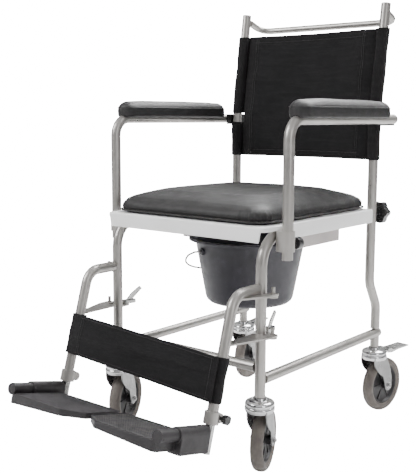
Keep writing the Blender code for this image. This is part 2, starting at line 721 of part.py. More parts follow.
def footplates():
    """Flip-up plates. Modelled about the pivot: -Y runs forward along it, Z is up."""
    for label, side in SIDES:
        inward = -side
        corners = [(0.0, -PLATE_BACK), (0.0, -PLATE_FRONT), (0.150, -PLATE_FRONT), (PLATE_SPAN, -0.116),
                   (PLATE_SPAN, -PLATE_BACK)]
        outline = [(inward * a, b) for a, b in rounded(corners, 0.010, 3)]
        plate = prism(f"footplate_{label}", outline, -0.036, -0.008)
        slope = math.atan(0.009 / PLATE_SPAN)
        under = side_box(f"plate_under_{label}", inward, (-0.01, 0.23), (-0.2, 0.0), (-0.080, -0.0275))
        under.data.transform(Matrix.Rotation(side * slope, 4, "Y"))
        cut(plate, under)
        sleeve = cylinder(f"foot_sleeve_{label}", (0, -0.0130, 0), (0, -0.096, 0), 0.0145, 18)
        skirt = side_box(f"foot_skirt_{label}", inward, (-0.0145, 0.014), (-0.094, -0.0135), (-0.034, 0.0))
        end = cylinder(f"foot_tube_{label}", (0, -0.090, 0), (0, -FOOT_TUBE_END, 0), 0.0118, 16)
        join(plate, skirt, sleeve, end)
        cut(plate, cylinder(f"foot_bore_{label}", (0, 0.01, 0), (0, -0.1375, 0), SPINDLE_R + 0.0004, 18))
        plate.location = (side * LEG_X, FOOT_ROOT_Y, FOOT_AXIS_Z)
        plate.rotation_euler = (-FOOT_PITCH, 0.0, 0.0)
        hang_cutters(plate)
        place(plate, CHARCOAL)


STRAP_Z = 0.242
STRAP_HEIGHT = 0.088


def calf_strap():
    """Nylon band carried by the right legrest. Its free end closes over a loop on the left one."""
    half = STRAP_HEIGHT / 2
    line = along_hanger(STRAP_Z)
    inner = TUBE_R + 0.0006
    band = box("calf_strap", (-LEG_X, -0.0195, -half), (LEG_X + 0.006, -0.0170, half))
    wrap = cylinder("strap_wrap", (-LEG_X, 0, -half), (-LEG_X, 0, half), 0.0185, 16)
    join(band, wrap)
    cut(band, cylinder("strap_wrap_bore", (-LEG_X, 0, -half - 0.01), (-LEG_X, 0, half + 0.01), inner + 0.0004, 20))
    band.matrix_world = line
    hang_cutters(band)
    place(band, NYLON)

    loop = cylinder("strap_loop", (0, 0, -half), (0, 0, half), 0.0133, 16)
    cut(loop, cylinder("strap_loop_bore", (0, 0, -half - 0.01), (0, 0, half + 0.01), inner, 20))
    loop.matrix_world = Matrix.Translation((LEG_X, 0, 0)) @ line
    hang_cutters(loop)
    place(loop, NYLON)


# ---- castors ------------------------------------------------------------------------------
CROWN_R = 0.0305
CROWN_TOP_Z = LEG_FOOT_Z - 0.0005
CROWN_BOTTOM_Z = 0.139
FORK_INNER = 0.0182
FORK_T = 0.003
TYRE_W = 0.027
HUB_R = 0.047

# name, side, leg depth, heading of the trail (degrees from the rear, towards -X), has a brake
CASTORS = (
    ("front_left", 1, FRONT_Y, 21.0, False),
    ("front_right", -1, FRONT_Y, 18.0, False),
    ("rear_left", 1, REAR_LOW_Y, -8.0, True),
    ("rear_right", -1, REAR_LOW_Y, 9.0, True),
)


def castor(name, x, y, heading, braked):
    """Modelled with the trail along +Y, then turned about the stem."""
    turn = (0.0, 0.0, math.radians(heading))
    bore = 0.003
    fork = lathe(f"castor_fork_{name}", [(bore, CROWN_TOP_Z), (0.016, CROWN_TOP_Z), (0.027, CROWN_TOP_Z - 0.006),
                                         (CROWN_R, CROWN_TOP_Z - 0.013), (CROWN_R, CROWN_BOTTOM_Z),
                                         (bore, CROWN_BOTTOM_Z)], 18)
    outline = [(-0.021, CROWN_BOTTOM_Z + 0.0063), (-0.021, CROWN_BOTTOM_Z - 0.004), (TRAIL - 0.013, 0.075)]
    for i in range(7):
        angle = math.pi + math.pi * i / 6
        outline.append((TRAIL + 0.013 * math.cos(angle), WHEEL_R + 0.013 * math.sin(angle)))
    outline += [(TRAIL + 0.013, CROWN_BOTTOM_Z - 0.002), (0.020, CROWN_BOTTOM_Z + 0.0063)]
    upend = Matrix.Rotation(math.radians(90), 4, "Z") @ Matrix.Rotation(math.radians(90), 4, "X")
    cheeks = [prism(f"fork_cheek_{name}_{i}", outline, a, a + FORK_T, upend)
              for i, a in enumerate((FORK_INNER, -FORK_INNER - FORK_T))]
    stem = cylinder(f"castor_stem_{name}", (0, 0, CROWN_BOTTOM_Z - 0.001), (0, 0, CROWN_TOP_Z + STEM_LENGTH - 0.004),
                    STEM_R, 12)
    axle = cylinder(f"castor_axle_{name}", (-0.0235, TRAIL, WHEEL_R), (0.0235, TRAIL, WHEEL_R), 0.0038, 12)
    join(fork, *cheeks, stem, axle)
    fork.location = (x, y, 0.0)
    fork.rotation_euler = turn
    hang_cutters(fork)
    place(fork, ZINC)

    lie = Matrix.Rotation(math.radians(90), 4, "Y")
    half = TYRE_W / 2
    tyre = lathe(f"castor_tyre_{name}", [(HUB_R + GAP, half - 0.003), (HUB_R + 0.010, half), (WHEEL_R - 0.005, half - 0.003),
                                         (WHEEL_R, 0.004), (WHEEL_R, -0.004), (WHEEL_R - 0.005, -half + 0.003),
                                         (HUB_R + 0.010, -half), (HUB_R + GAP, -half + 0.003)], 24)
    hub = lathe(f"castor_hub_{name}", [(0.0042, 0.0165), (0.012, 0.0165), (0.013, 0.0045), (HUB_R - 0.006, 0.0045),
                                       (HUB_R, 0.0095), (HUB_R, -0.0095), (HUB_R - 0.006, -0.0045),
                                       (0.013, -0.0045), (0.012, -0.0165), (0.0042, -0.0165)], 24)
    centre = Matrix.Rotation(turn[2], 4, "Z") @ Vector((0.0, TRAIL, 0.0))
    for obj, mat in ((tyre, TYRE), (hub, BLACK)):
        obj.matrix_world = (Matrix.Translation((x + centre.x, y + centre.y, WHEEL_R))
                            @ Matrix.Rotation(turn[2], 4, "Z") @ lie)
        place(obj, mat)
    if braked:
        brake_pedal(name, x, y, turn)


BRAKE_Y = 0.042
BRAKE_Z = 0.1495


def brake_pedal(name, x, y, turn):
    """A foot pedal over the wheel, pivoted just behind the crown."""
    outline = [(-0.006, -0.004), (0.010, -0.006), (0.034, -0.003), (0.080, -0.002), (0.0795, 0.0015),
               (0.034, 0.001), (0.012, 0.002), (0.006, 0.006), (-0.006, 0.006)]
    upend = Matrix.Rotation(math.radians(90), 4, "Z") @ Matrix.Rotation(math.radians(90), 4, "X")
    pedal = prism(f"brake_pedal_{name}", outline, -0.0165, 0.0165, upend)
    offset = Matrix.Rotation(turn[2], 4, "Z") @ Vector((0.0, BRAKE_Y, 0.0))
    pedal.location = (x + offset.x, y + offset.y, BRAKE_Z)
    pedal.rotation_euler = turn
    place(pedal, ZINC)


# ---- build --------------------------------------------------------------------------------
frame()
arm_sockets()
arm_knobs()
armrests()
uprights()
push_bar()
sling()
arm_cradles()
back_knobs()
seat_plate()
runners()
cushion()
pail()
hangers()
latches()
collars()
stems()
footplates()
calf_strap()
for castor_name, castor_side, leg_y, heading, braked in CASTORS:
    castor(castor_name, castor_side * LEG_X, leg_y, heading, braked)

# The chair was set out from its seat. Move it so that the middle of its box is over the origin.
for obj in list(PARTS.objects) + list(CUTTERS.objects):
    if obj.parent is None:
        obj.location.y += SET_FORWARD
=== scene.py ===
import json
import math

import bmesh
import bpy
from mathutils import Matrix, Vector, noise


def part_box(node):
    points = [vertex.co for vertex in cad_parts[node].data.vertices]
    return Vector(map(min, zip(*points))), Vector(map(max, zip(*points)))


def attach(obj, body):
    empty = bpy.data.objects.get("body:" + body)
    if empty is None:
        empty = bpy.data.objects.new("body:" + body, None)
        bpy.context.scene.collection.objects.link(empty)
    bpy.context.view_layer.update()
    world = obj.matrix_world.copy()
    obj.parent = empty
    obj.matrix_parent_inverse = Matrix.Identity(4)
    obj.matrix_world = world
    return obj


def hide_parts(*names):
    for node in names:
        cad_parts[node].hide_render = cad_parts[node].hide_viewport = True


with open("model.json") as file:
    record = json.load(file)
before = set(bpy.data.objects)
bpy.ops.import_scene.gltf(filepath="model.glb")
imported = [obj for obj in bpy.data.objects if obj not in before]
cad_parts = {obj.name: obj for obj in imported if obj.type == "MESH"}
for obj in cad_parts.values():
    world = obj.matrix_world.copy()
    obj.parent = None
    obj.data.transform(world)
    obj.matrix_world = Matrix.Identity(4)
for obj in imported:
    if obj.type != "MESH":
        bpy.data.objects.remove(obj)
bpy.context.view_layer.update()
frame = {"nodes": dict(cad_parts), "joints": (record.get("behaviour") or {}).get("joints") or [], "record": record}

NODES = frame["nodes"]
JOINTS = {j["name"]: j for j in frame["joints"]}
SIDES = (("left", 1), ("right", -1))

seat_low, seat_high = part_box("seat_plate")
SEAT_Y = seat_low.y + 0.216                  # the line across the seat from which depths are set out
MM = 0.001
CLOTH_T = 0.0022
PROUD = 0.0013                               # stitches stand this far off the cloth's middle surface
LEG_X = 0.197


def at(x, y, z):
    """A point whose depth is set out from the seat's line."""
    return Vector((x, SEAT_Y + y, z))


# ---- small modelling tools ------------------------------------------------------------------
def add(name, mesh, mat=None, smooth=True):
    obj = bpy.data.objects.new(name, mesh)
    bpy.context.scene.collection.objects.link(obj)
    if mat:
        mesh.materials.append(mat)
    if smooth:
        mesh.polygons.foreach_set("use_smooth", [True] * len(mesh.polygons))
    return obj


def from_points(name, verts, faces, mat=None, smooth=True):
    mesh = bpy.data.meshes.new(name)
    mesh.from_pydata([tuple(v) for v in verts], [], faces)
    mesh.update()
    bm = bmesh.new()
    bm.from_mesh(mesh)
    bmesh.ops.recalc_face_normals(bm, faces=bm.faces)
    bm.to_mesh(mesh)
    bm.free()
    return add(name, mesh, mat, smooth)


def basis(origin, axis, up=None):
    """A frame at a point whose Z runs along an axis."""
    z = Vector(axis).normalized()
    hint = Vector(up) if up else (Vector((0, 0, 1)) if abs(z.z) < 0.9 else Vector((0, 1, 0)))
    x = hint.cross(z).normalized()
    y = z.cross(x)
    turn = Matrix((x, y, z)).transposed().to_4x4()
    return Matrix.Translation(origin) @ turn


def lathe(name, profile, where, mat, steps=48):
    """A profile of (radius, height) turned about the Z of a frame. Ends at radius 0 close it."""
    verts, rings = [], []
    for r, h in profile:
        if r < 1e-6:
            rings.append([len(verts)])
            verts.append(where @ Vector((0, 0, h)))
        else:
            ring = []
            for i in range(steps):
                a = 2 * math.pi * i / steps
                ring.append(len(verts))
                verts.append(where @ Vector((r * math.cos(a), r * math.sin(a), h)))
            rings.append(ring)
    faces = []
    pairs = list(zip(rings, rings[1:]))
    if profile[0][0] > 1e-6 and profile[-1][0] > 1e-6:
        pairs.append((rings[-1], rings[0]))
    for a, b in pairs:
        for i in range(steps):
            j = (i + 1) % steps
            if len(a) == 1:
                faces.append((a[0], b[i], b[j]))
            elif len(b) == 1:
                faces.append((a[i], b[0], a[j]))
            else:
                faces.append((a[i], b[i], b[j], a[j]))
    obj = from_points(name, verts, faces, mat)
    crease(obj, 38)
    return obj


def crease(obj, degrees):
    """Smooth shading that stays sharp at real edges."""
    mesh = obj.data
    bm = bmesh.new()
    bm.from_mesh(mesh)
    limit = math.radians(degrees)
    for edge in bm.edges:
        if len(edge.link_faces) == 2 and edge.calc_face_angle(0) > limit:
            edge.smooth = False
    bm.to_mesh(mesh)
    bm.free()


def soften(obj, width, segments=3, degrees=30):
    """Round the hard edges of a piece."""
    mod = obj.modifiers.new("rounded", "BEVEL")
    mod.width = width
    mod.segments = segments
    mod.limit_method = "ANGLE"
    mod.angle_limit = math.radians(degrees)
    mod.harden_normals = True
    return obj


def rod(name, points, radius, mat, sides=8, cyclic=False, taper=None):
    """A round wire or tube along points."""
    curve = bpy.data.curves.new(name, "CURVE")
    curve.dimensions = "3D"
    curve.bevel_depth = radius
    curve.bevel_resolution = sides
    curve.use_fill_caps = not cyclic
    spline = curve.splines.new("POLY")
    spline.points.add(len(points) - 1)
    for i, (q, p) in enumerate(zip(spline.points, points)):
        q.co = (*p, 1)
        q.radius = taper(i / (len(points) - 1)) if taper else 1.0
    spline.use_cyclic_u = cyclic
    spline.use_smooth = True
    obj = bpy.data.objects.new(name, curve)
    bpy.context.scene.collection.objects.link(obj)
    curve.materials.append(mat)
    return obj


def slab(name, outline, low, high, where, mat, edge=0.0):
    """An outline in the XY of a frame, given a thickness along its Z."""
    n = len(outline)
    verts = [where @ Vector((x, y, low)) for x, y in outline]
    verts += [where @ Vector((x, y, high)) for x, y in outline]
    faces = [tuple(range(n))[::-1], tuple(range(n, 2 * n))]
    faces += [(i, (i + 1) % n, n + (i + 1) % n, n + i) for i in range(n)]
    obj = from_points(name, verts, faces, mat)
    if edge:
        soften(obj, edge)
    else:
        crease(obj, 30)
    return obj


def arc(cx, cy, r, start, end, steps):
    return [(cx + r * math.cos(math.radians(start + (end - start) * i / steps)),
             cy + r * math.sin(math.radians(start + (end - start) * i / steps))) for i in range(steps + 1)]


def stitches(name, points, mat, out, pitch=0.0042, length=0.0029, r=0.00042):
    """Short raised threads along a path of points, standing a little proud of the cloth."""
    verts, faces = [], []
    line = [Vector(p) for p in points]
    spans = [(b - a).length for a, b in zip(line, line[1:])]
    total = sum(spans)

    def along(s):
        for a, b, d in zip(line, line[1:], spans):
            if s <= d:
                return a.lerp(b, s / d), (b - a).normalized()
            s -= d
        return line[-1], (line[-1] - line[-2]).normalized()

    count = int(total / pitch)
    for k in range(count):
        middle, way = along((k + 0.5) * total / count)
        side = way.cross(Vector(out)).normalized()
        up = side.cross(way).normalized()
        first = len(verts)
        for t, rise, grow in ((-0.5, -0.5, 0.5), (-0.25, 0.6, 1.0), (0.25, 0.6, 1.0), (0.5, -0.5, 0.5)):
            base = middle + way * (t * length) + up * (rise * r)
            for a in range(6):
                turn = math.pi * a / 3
                verts.append(base + side * (math.cos(turn) * r * grow) + up * (math.sin(turn) * r * grow))
        for ring in range(3):
            for a in range(6):
                b = (a + 1) % 6
                q = first + ring * 6
                faces.append((q + a, q + b, q + 6 + b, q + 6 + a))
        faces.append(tuple(first + a for a in range(6))[::-1])
        faces.append(tuple(first + 18 + a for a in range(6)))
    return from_points(name, verts, faces, mat)


# ---- materials ------------------------------------------------------------------------------
class Finish:
    """A node material built up from the Principled shader."""

    def __init__(self, name, colour, roughness, metallic=0.0, **sockets):
        self.mat = bpy.data.materials.new(name)
        self.mat.use_nodes = True
        self.tree = self.mat.node_tree
        self.shader = self.tree.nodes["Principled BSDF"]
        self.shader.inputs["Base Color"].default_value = (*colour, 1)
        self.shader.inputs["Roughness"].default_value = roughness
        self.shader.inputs["Metallic"].default_value = metallic
        for key, value in sockets.items():
            self.shader.inputs[key.replace("_", " ")].default_value = value
        self.colour = colour
        self.normal = None
        self.place = self.node("ShaderNodeTexCoord").outputs["Object"]

    def node(self, kind, **inputs):
        made = self.tree.nodes.new(kind)
        for key, value in inputs.items():
            self.feed(made.inputs[key], value)
        return made

    def feed(self, socket, value):
        if isinstance(value, bpy.types.NodeSocket):
            self.tree.links.new(value, socket)
        else:
            socket.default_value = value

    def stretched(self, scale, turn=(0, 0, 0)):
        made = self.node("ShaderNodeMapping", Vector=self.place)
        made.inputs["Scale"].default_value = scale
        made.inputs["Rotation"].default_value = turn
        return made.outputs["Vector"]

    def cloud(self, scale, detail=3.0, roughness=0.55, where=None):
        made = self.node("ShaderNodeTexNoise", Vector=where or self.place, Scale=scale, Detail=detail,
                         Roughness=roughness)
        return made.outputs["Fac"]

    def cells(self, scale, feature="F1", where=None, randomness=1.0):
        made = self.node("ShaderNodeTexVoronoi")
        made.feature = feature
        self.feed(made.inputs["Vector"], where or self.place)
        made.inputs["Scale"].default_value = scale
        made.inputs["Randomness"].default_value = randomness
        return made.outputs["Distance"]

    def wave(self, scale, where=None, direction="X", distortion=0.0, detail=0.0):
        made = self.node("ShaderNodeTexWave", Vector=where or self.place, Scale=scale, Distortion=distortion,
                         Detail=detail)
        made.bands_direction = direction
        return made.outputs["Fac"]

    def ramp(self, value, low, high, from_low=0.0, from_high=1.0):
        made = self.node("ShaderNodeMapRange", Value=value)
        made.inputs["From Min"].default_value = from_low
        made.inputs["From Max"].default_value = from_high
        made.inputs["To Min"].default_value = low
        made.inputs["To Max"].default_value = high
        return made.outputs["Result"]

    def sums(self, a, b, operation="ADD"):
        made = self.node("ShaderNodeMath")
        made.operation = operation
        self.feed(made.inputs[0], a)
        self.feed(made.inputs[1], b)
        return made.outputs["Value"]

    def mix(self, share, a, b):
        made = self.tree.nodes.new("ShaderNodeMix")
        made.data_type = "RGBA"
        self.feed(made.inputs[0], share)
        for index, colour in ((6, a), (7, b)):
            if isinstance(colour, bpy.types.NodeSocket):
                self.tree.links.new(colour, made.inputs[index])
            else:
                made.inputs[index].default_value = (*colour, 1)
        return made.outputs[2]

    def bump(self, height, distance, strength=1.0):
        made = self.node("ShaderNodeBump", Height=height, Distance=distance, Strength=strength)
        if self.normal is not None:
            self.tree.links.new(self.normal, made.inputs["Normal"])
        self.normal = made.outputs["Normal"]
        self.tree.links.new(self.normal, self.shader.inputs["Normal"])
        return self

    def round_edges(self, radius):
        made = self.tree.nodes.new("ShaderNodeBevel")
        made.samples = 6
        made.inputs["Radius"].default_value = radius
        self.normal = made.outputs["Normal"]
        self.tree.links.new(self.normal, self.shader.inputs["Normal"])
        return self

    def paint(self, socket, value):
        self.feed(self.shader.inputs[socket], value)
        return self


def silver_paint():
    f = Finish("silver_paint", (0.42, 0.405, 0.385), 0.30, 0.75, Coat_Weight=0.12, Coat_Roughness=0.2)
    f.round_edges(0.0008)
    broad = f.cloud(9, 3)
    tone = f.mix(f.ramp(broad, 0, 1, 0.35, 0.65), (0.325, 0.310, 0.295), (0.405, 0.388, 0.368))
    flakes = f.ramp(f.cells(2600), 0.0, 1.0, 0.0, 0.5)
    tone = f.mix(f.ramp(flakes, 0.0, 0.22), tone, (0.56, 0.55, 0.53))
    scuffs = f.sums(f.cloud(34, 6, 0.7), f.ramp(f.cloud(5, 2), 0, 1, 0.45, 0.6), "MULTIPLY")
    tone = f.mix(f.ramp(scuffs, 0.0, 0.35, 0.55, 0.72), tone, (0.33, 0.32, 0.31))
    f.paint("Base Color", tone)
    f.paint("Roughness", f.ramp(f.cloud(45, 4), 0.27, 0.41, 0.3, 0.7))
    f.bump(f.cloud(620, 2), 0.00006, 0.5)
    f.bump(f.cloud(85, 2), 0.00025, 0.35)
    return f.mat


def zinc(name="zinc_plate", colour=(0.62, 0.62, 0.61), rough=(0.16, 0.34)):
    f = Finish(name, colour, 0.24, 1.0)
    f.round_edges(0.0006)
    dark = tuple(c * 0.72 for c in colour)
    tone = f.mix(f.ramp(f.cloud(38, 4), 0, 1, 0.35, 0.65), dark, colour)
    f.paint("Base Color", tone)
    f.paint("Roughness", f.ramp(f.cloud(70, 5, 0.65), rough[0], rough[1], 0.3, 0.7))
    drawn = f.cloud(900, 2, 0.5, f.stretched((1, 1, 0.06)))
    f.bump(drawn, 0.00004, 0.5)
    return f.mat


def white_plastic():
    f = Finish("white_plastic", (0.86, 0.86, 0.85), 0.34, 0.0, Subsurface_Weight=0.06)
    f.shader.inputs["Subsurface Radius"].default_value = (0.004, 0.004, 0.003)
    f.round_edges(0.0016)
    tone = f.mix(f.ramp(f.cloud(14, 3), 0, 1, 0.4, 0.62), (0.93, 0.93, 0.925), (0.97, 0.97, 0.97))
    scuff = f.cloud(60, 6, 0.72, f.stretched((1, 1, 4)))
    tone = f.mix(f.ramp(scuff, 0.0, 0.4, 0.62, 0.78), tone, (0.84, 0.835, 0.83))
    f.paint("Base Color", tone)
    f.paint("Roughness", f.ramp(f.cloud(80, 3), 0.28, 0.45, 0.3, 0.7))
    f.bump(f.cloud(900, 2), 0.00005, 0.5)
    return f.mat


def vinyl():
    f = Finish("black_vinyl", (0.018, 0.018, 0.020), 0.40, 0.0, Specular_IOR_Level=0.5)
    tone = f.mix(f.ramp(f.cloud(22, 4), 0, 1, 0.35, 0.68), (0.0045, 0.0042, 0.0048), (0.0095, 0.0088, 0.0098))
    grain = f.cells(620, "DISTANCE_TO_EDGE")
    # painted shade: the colour is darkened along the grain's valleys, where shade would fall
    grain_valley_shade = f.ramp(grain, 1.0, 0.0, 0.0, 0.10)
    tone = f.mix(f.sums(grain_valley_shade, 0.45, "MULTIPLY"), tone, (0.002, 0.002, 0.0022))
    f.paint("Base Color", tone)
    f.paint("Roughness", f.ramp(f.cloud(40, 4), 0.34, 0.47, 0.3, 0.7))
    f.bump(f.ramp(grain, 0.0, 1.0, 0.0, 0.16), 0.00022, 0.75)
    f.bump(f.cells(210, "SMOOTH_F1"), 0.00035, 0.30)
    f.bump(f.cloud(28, 3), 0.0016, 0.22)
    return f.mat


def nylon():
    f = Finish("black_nylon", (0.006, 0.0055, 0.006), 0.74, 0.0, Sheen_Weight=0.03, Sheen_Roughness=0.45,
               Specular_IOR_Level=0.25)
    f.shader.inputs["Sheen Tint"].default_value = (0.75, 0.72, 0.76, 1)
    across = f.wave(430, None, "X", 0.5, 1)
    along = f.wave(430, None, "Z", 0.5, 1)
    weave = f.sums(across, along, "MAXIMUM")
    chequer = f.sums(f.sums(across, along, "SUBTRACT"), 0.5, "MULTIPLY")
    tone = f.mix(f.ramp(f.cloud(16, 5, 0.62), 0, 1, 0.34, 0.70), (0.0040, 0.0035, 0.0040),
                 (0.0090, 0.0082, 0.0092))
    tone = f.mix(f.ramp(weave, 0.35, 0.0), tone, (0.014, 0.013, 0.014))
    streak = f.cloud(120, 3, 0.6, f.stretched((0.10, 1.0, 1.0)))
    tone = f.mix(f.ramp(streak, 0.0, 0.30, 0.52, 0.74), tone, (0.014, 0.0125, 0.014))
    f.paint("Base Color", tone)
    f.paint("Roughness", f.ramp(streak, 0.62, 0.82, 0.3, 0.7))
    f.bump(weave, 0.00035, 0.8)
    f.bump(chequer, 0.00020, 0.5)
    f.bump(f.cloud(26, 4), 0.0022, 0.28)
    return f.mat


def thread():
    f = Finish("thread", (0.030, 0.028, 0.030), 0.55, 0.0, Sheen_Weight=0.2)
    f.bump(f.wave(1600, f.stretched((1, 1, 1), (0.4, 0.6, 0.3)), "DIAGONAL"), 0.0001, 0.6)
    f.paint("Base Color", f.mix(f.cloud(300, 2), (0.020, 0.019, 0.020), (0.048, 0.045, 0.048)))
    return f.mat


def moulded(name, colour, rough, grain, depth, edge=0.0009, spread=0.35, coat=0.0):
    f = Finish(name, colour, rough, 0.0, Coat_Weight=coat, Coat_Roughness=0.12)
    f.round_edges(edge)
    low = tuple(c * (1 - spread) for c in colour)
    high = tuple(min(c * (1 + spread), 1) for c in colour)
    tone = f.mix(f.ramp(f.cloud(18, 4), 0, 1, 0.35, 0.65), low, high)
    dust = f.cloud(48, 6, 0.7)
    tone = f.mix(f.ramp(dust, 0.0, 0.30, 0.56, 0.76), tone, tuple(min(c * 2.2 + 0.012, 1) for c in colour))
    f.paint("Base Color", tone)
    f.paint("Roughness", f.ramp(f.cloud(60, 4), rough - 0.07, rough + 0.10, 0.3, 0.7))
    f.bump(f.cells(grain, "SMOOTH_F1"), depth, 0.7)
    f.bump(f.cloud(grain * 2.2, 2), depth * 0.6, 0.5)
    return f.mat


def rubber():
    f = Finish("tyre_rubber", (0.20, 0.185, 0.17), 0.66, 0.0, Sheen_Weight=0.10)
    tone = f.mix(f.ramp(f.cloud(30, 5, 0.62), 0, 1, 0.35, 0.68), (0.105, 0.090, 0.082), (0.175, 0.155, 0.138))
    grit = f.cells(900)
    tone = f.mix(f.ramp(grit, 0.30, 0.0, 0.0, 0.3), tone, (0.08, 0.073, 0.070))
    f.paint("Base Color", tone)
    f.paint("Roughness", f.ramp(f.cloud(90, 3), 0.58, 0.76, 0.3, 0.7))
    f.bump(f.cloud(700, 3), 0.00012, 0.7)
    return f.mat


PAINT = silver_paint()
ZINC = zinc()
CHROME = zinc("chrome", (0.78, 0.78, 0.79), (0.05, 0.13))
STEEL = zinc("dull_steel", (0.46, 0.45, 0.44), (0.30, 0.46))
WHITE = white_plastic()
VINYL = vinyl()
NYLON = nylon()
THREAD = thread()
BLACK = moulded("black_plastic", (0.014, 0.014, 0.015), 0.24, 420, 0.00006, 0.0012, 0.25, 0.25)
BLACK_MATT = moulded("black_matt_plastic", (0.016, 0.015, 0.016), 0.44, 700, 0.00010, 0.0009, 0.3)
CHARCOAL = moulded("charcoal_plastic", (0.022, 0.020, 0.022), 0.46, 560, 0.00022, 0.0016, 0.16)
PAIL = moulded("pail_plastic", (0.040, 0.039, 0.048), 0.38, 300, 0.00008, 0.0012, 0.14)
RUNNER = moulded("runner_plastic", (0.60, 0.555, 0.545), 0.42, 500, 0.00008, 0.0012, 0.06)
RUBBER = rubber()
# painted light: the treads' ribs are a lighter copy of the charcoal plastic, standing in for light falling on the
# footplates' tops
TREAD_PAINTED_LIGHT = moulded("tread_plastic_painted_light", (0.040, 0.037, 0.041), 0.42, 560, 0.00010, 0.0004, 0.2)
FORK = zinc("fork_steel", (0.36, 0.36, 0.36), (0.24, 0.40))

BY_SLOT = {"silver_paint": PAINT, "zinc_plate": ZINC, "white_plastic": WHITE, "black_vinyl": VINYL,
           "black_nylon": NYLON, "black_plastic": BLACK, "charcoal_plastic": CHARCOAL, "pail_plastic": PAIL,
           "runner_plastic": RUNNER, "tyre_rubber": RUBBER}
for part in frame["record"]["subparts"]:
    mesh = NODES[part["node"]].data
    mesh.materials.clear()
    mesh.materials.append(BY_SLOT[part["material_slot"]])


def shaded_smooth():
    """A node group that joins coincident points, then shades smooth except across real edges."""
    group = bpy.data.node_groups.new("shaded_smooth", "GeometryNodeTree")
    group.interface.new_socket("Geometry", in_out="INPUT", socket_type="NodeSocketGeometry")
    group.interface.new_socket("Geometry", in_out="OUTPUT", socket_type="NodeSocketGeometry")
    source = group.nodes.new("NodeGroupInput")
    plain = group.nodes.new("GeometryNodeRemoveAttribute")
    plain.inputs["Name"].default_value = "custom_normal"
    merge = group.nodes.new("GeometryNodeMergeByDistance")
    merge.inputs["Distance"].default_value = 0.00001
    smooth = group.nodes.new("GeometryNodeSetShadeSmooth")
    angle = group.nodes.new("GeometryNodeInputMeshEdgeAngle")
    sharp = group.nodes.new("FunctionNodeCompare")
    sharp.inputs[1].default_value = math.radians(35)
    split = group.nodes.new("GeometryNodeSplitEdges")
    result = group.nodes.new("NodeGroupOutput")
    group.links.new(source.outputs[0], plain.inputs["Geometry"])
    group.links.new(plain.outputs["Geometry"], merge.inputs["Geometry"])
    group.links.new(merge.outputs["Geometry"], smooth.inputs["Geometry"])
    group.links.new(smooth.outputs["Geometry"], split.inputs["Mesh"])
    group.links.new(angle.outputs["Unsigned Angle"], sharp.inputs[0])
    group.links.new(sharp.outputs["Result"], split.inputs["Selection"])
    group.links.new(split.outputs["Mesh"], result.inputs[0])
    return group


SMOOTHER = shaded_smooth()
for part in frame["record"]["subparts"]:
    NODES[part["node"]].modifiers.new("shaded_smooth", "NODES").node_group = SMOOTHER


# ---- the seat cushion -----------------------------------------------------------------------
def belt(below, above, n):
    """The faces between two closed rings of n points, numbered from below * n and above * n."""
    return [(below * n + i, below * n + (i + 1) % n, above * n + (i + 1) % n, above * n + i)
            for i in range(n)]


def closed_loft(name, rings, mat):
    """A closed body through rings of equal point counts, its ends closed by flat fans."""
    n = len(rings[0])
    verts = [p for ring in rings for p in ring]
    faces = []
    for k in range(len(rings) - 1):
        faces += belt(k, k + 1, n)
    for ring, flip in ((0, True), (len(rings) - 1, False)):
        centre = sum((Vector(p) for p in rings[ring]), Vector()) / n
        verts.append(centre)
        c = len(verts) - 1
        for i in range(n):
            a, b = ring * n + i, ring * n + (i + 1) % n
            faces.append((a, b, c) if not flip else (b, a, c))
    return from_points(name, verts, faces, mat)


def round_rectangle(half_x, half_y, radius, cx, cy, z, per_corner=10, per_side=14):
    """A ring of points round a rectangle with round corners."""
    points = []
    quarters = ((1, 1, 0), (-1, 1, 90), (-1, -1, 180), (1, -1, 270))
    for k, (sx, sy, start) in enumerate(quarters):
        ox, oy = sx * (half_x - radius), sy * (half_y - radius)
        for i in range(per_corner + 1):
            a = math.radians(start + 90 * i / per_corner)
            points.append(Vector((cx + ox + radius * math.cos(a), cy + oy + radius * math.sin(a), z)))
        nx, ny, nstart = quarters[(k + 1) % 4]
        a = math.radians(nstart)
        target = Vector((cx + nx * (half_x - radius) + radius * math.cos(a),
                         cy + ny * (half_y - radius) + radius * math.sin(a), z))
        last = points[-1]
        for i in range(1, per_side):
            points.append(last.lerp(target, i / per_side))
    return points


EVENING = 40                                 # passes that draw a swollen cover taut


def evened(mesh, moves, passes):
    """Each point's movement averaged with its neighbours', so that a cover swells without crumpling."""
    pairs = [tuple(edge.vertices) for edge in mesh.edges]
    for _ in range(passes):
        total = [move.copy() for move in moves]
        count = [1] * len(moves)
        for a, b in pairs:
            total[a] += moves[b]
            total[b] += moves[a]
            count[a] += 1
            count[b] += 1
        moves = [move / k for move, k in zip(total, count)]
    return moves


def applied(obj):
    """The object with its modifiers worked into its mesh, shaded smooth."""
    bpy.context.view_layer.update()
    made = bpy.data.meshes.new_from_object(obj.evaluated_get(bpy.context.evaluated_depsgraph_get()))
    obj.modifiers.clear()
    obj.data = made
    made.polygons.foreach_set("use_smooth", [True] * len(made.polygons))
    return obj


def thickened(obj, even):
    """A sheet of cloth given its thickness."""
    thick = obj.modifiers.new("thickness", "SOLIDIFY")
    thick.thickness = CLOTH_T
    thick.offset = 0.0
    thick.use_even_offset = even
    applied(obj)
    crease(obj, 50)
    return obj


def grid_faces(rows, width):
    """Four-sided faces over rows of points laid one after another."""
    return [(j * width + i, j * width + i + 1, (j + 1) * width + i + 1, (j + 1) * width + i)
            for j in range(rows) for i in range(width - 1)]


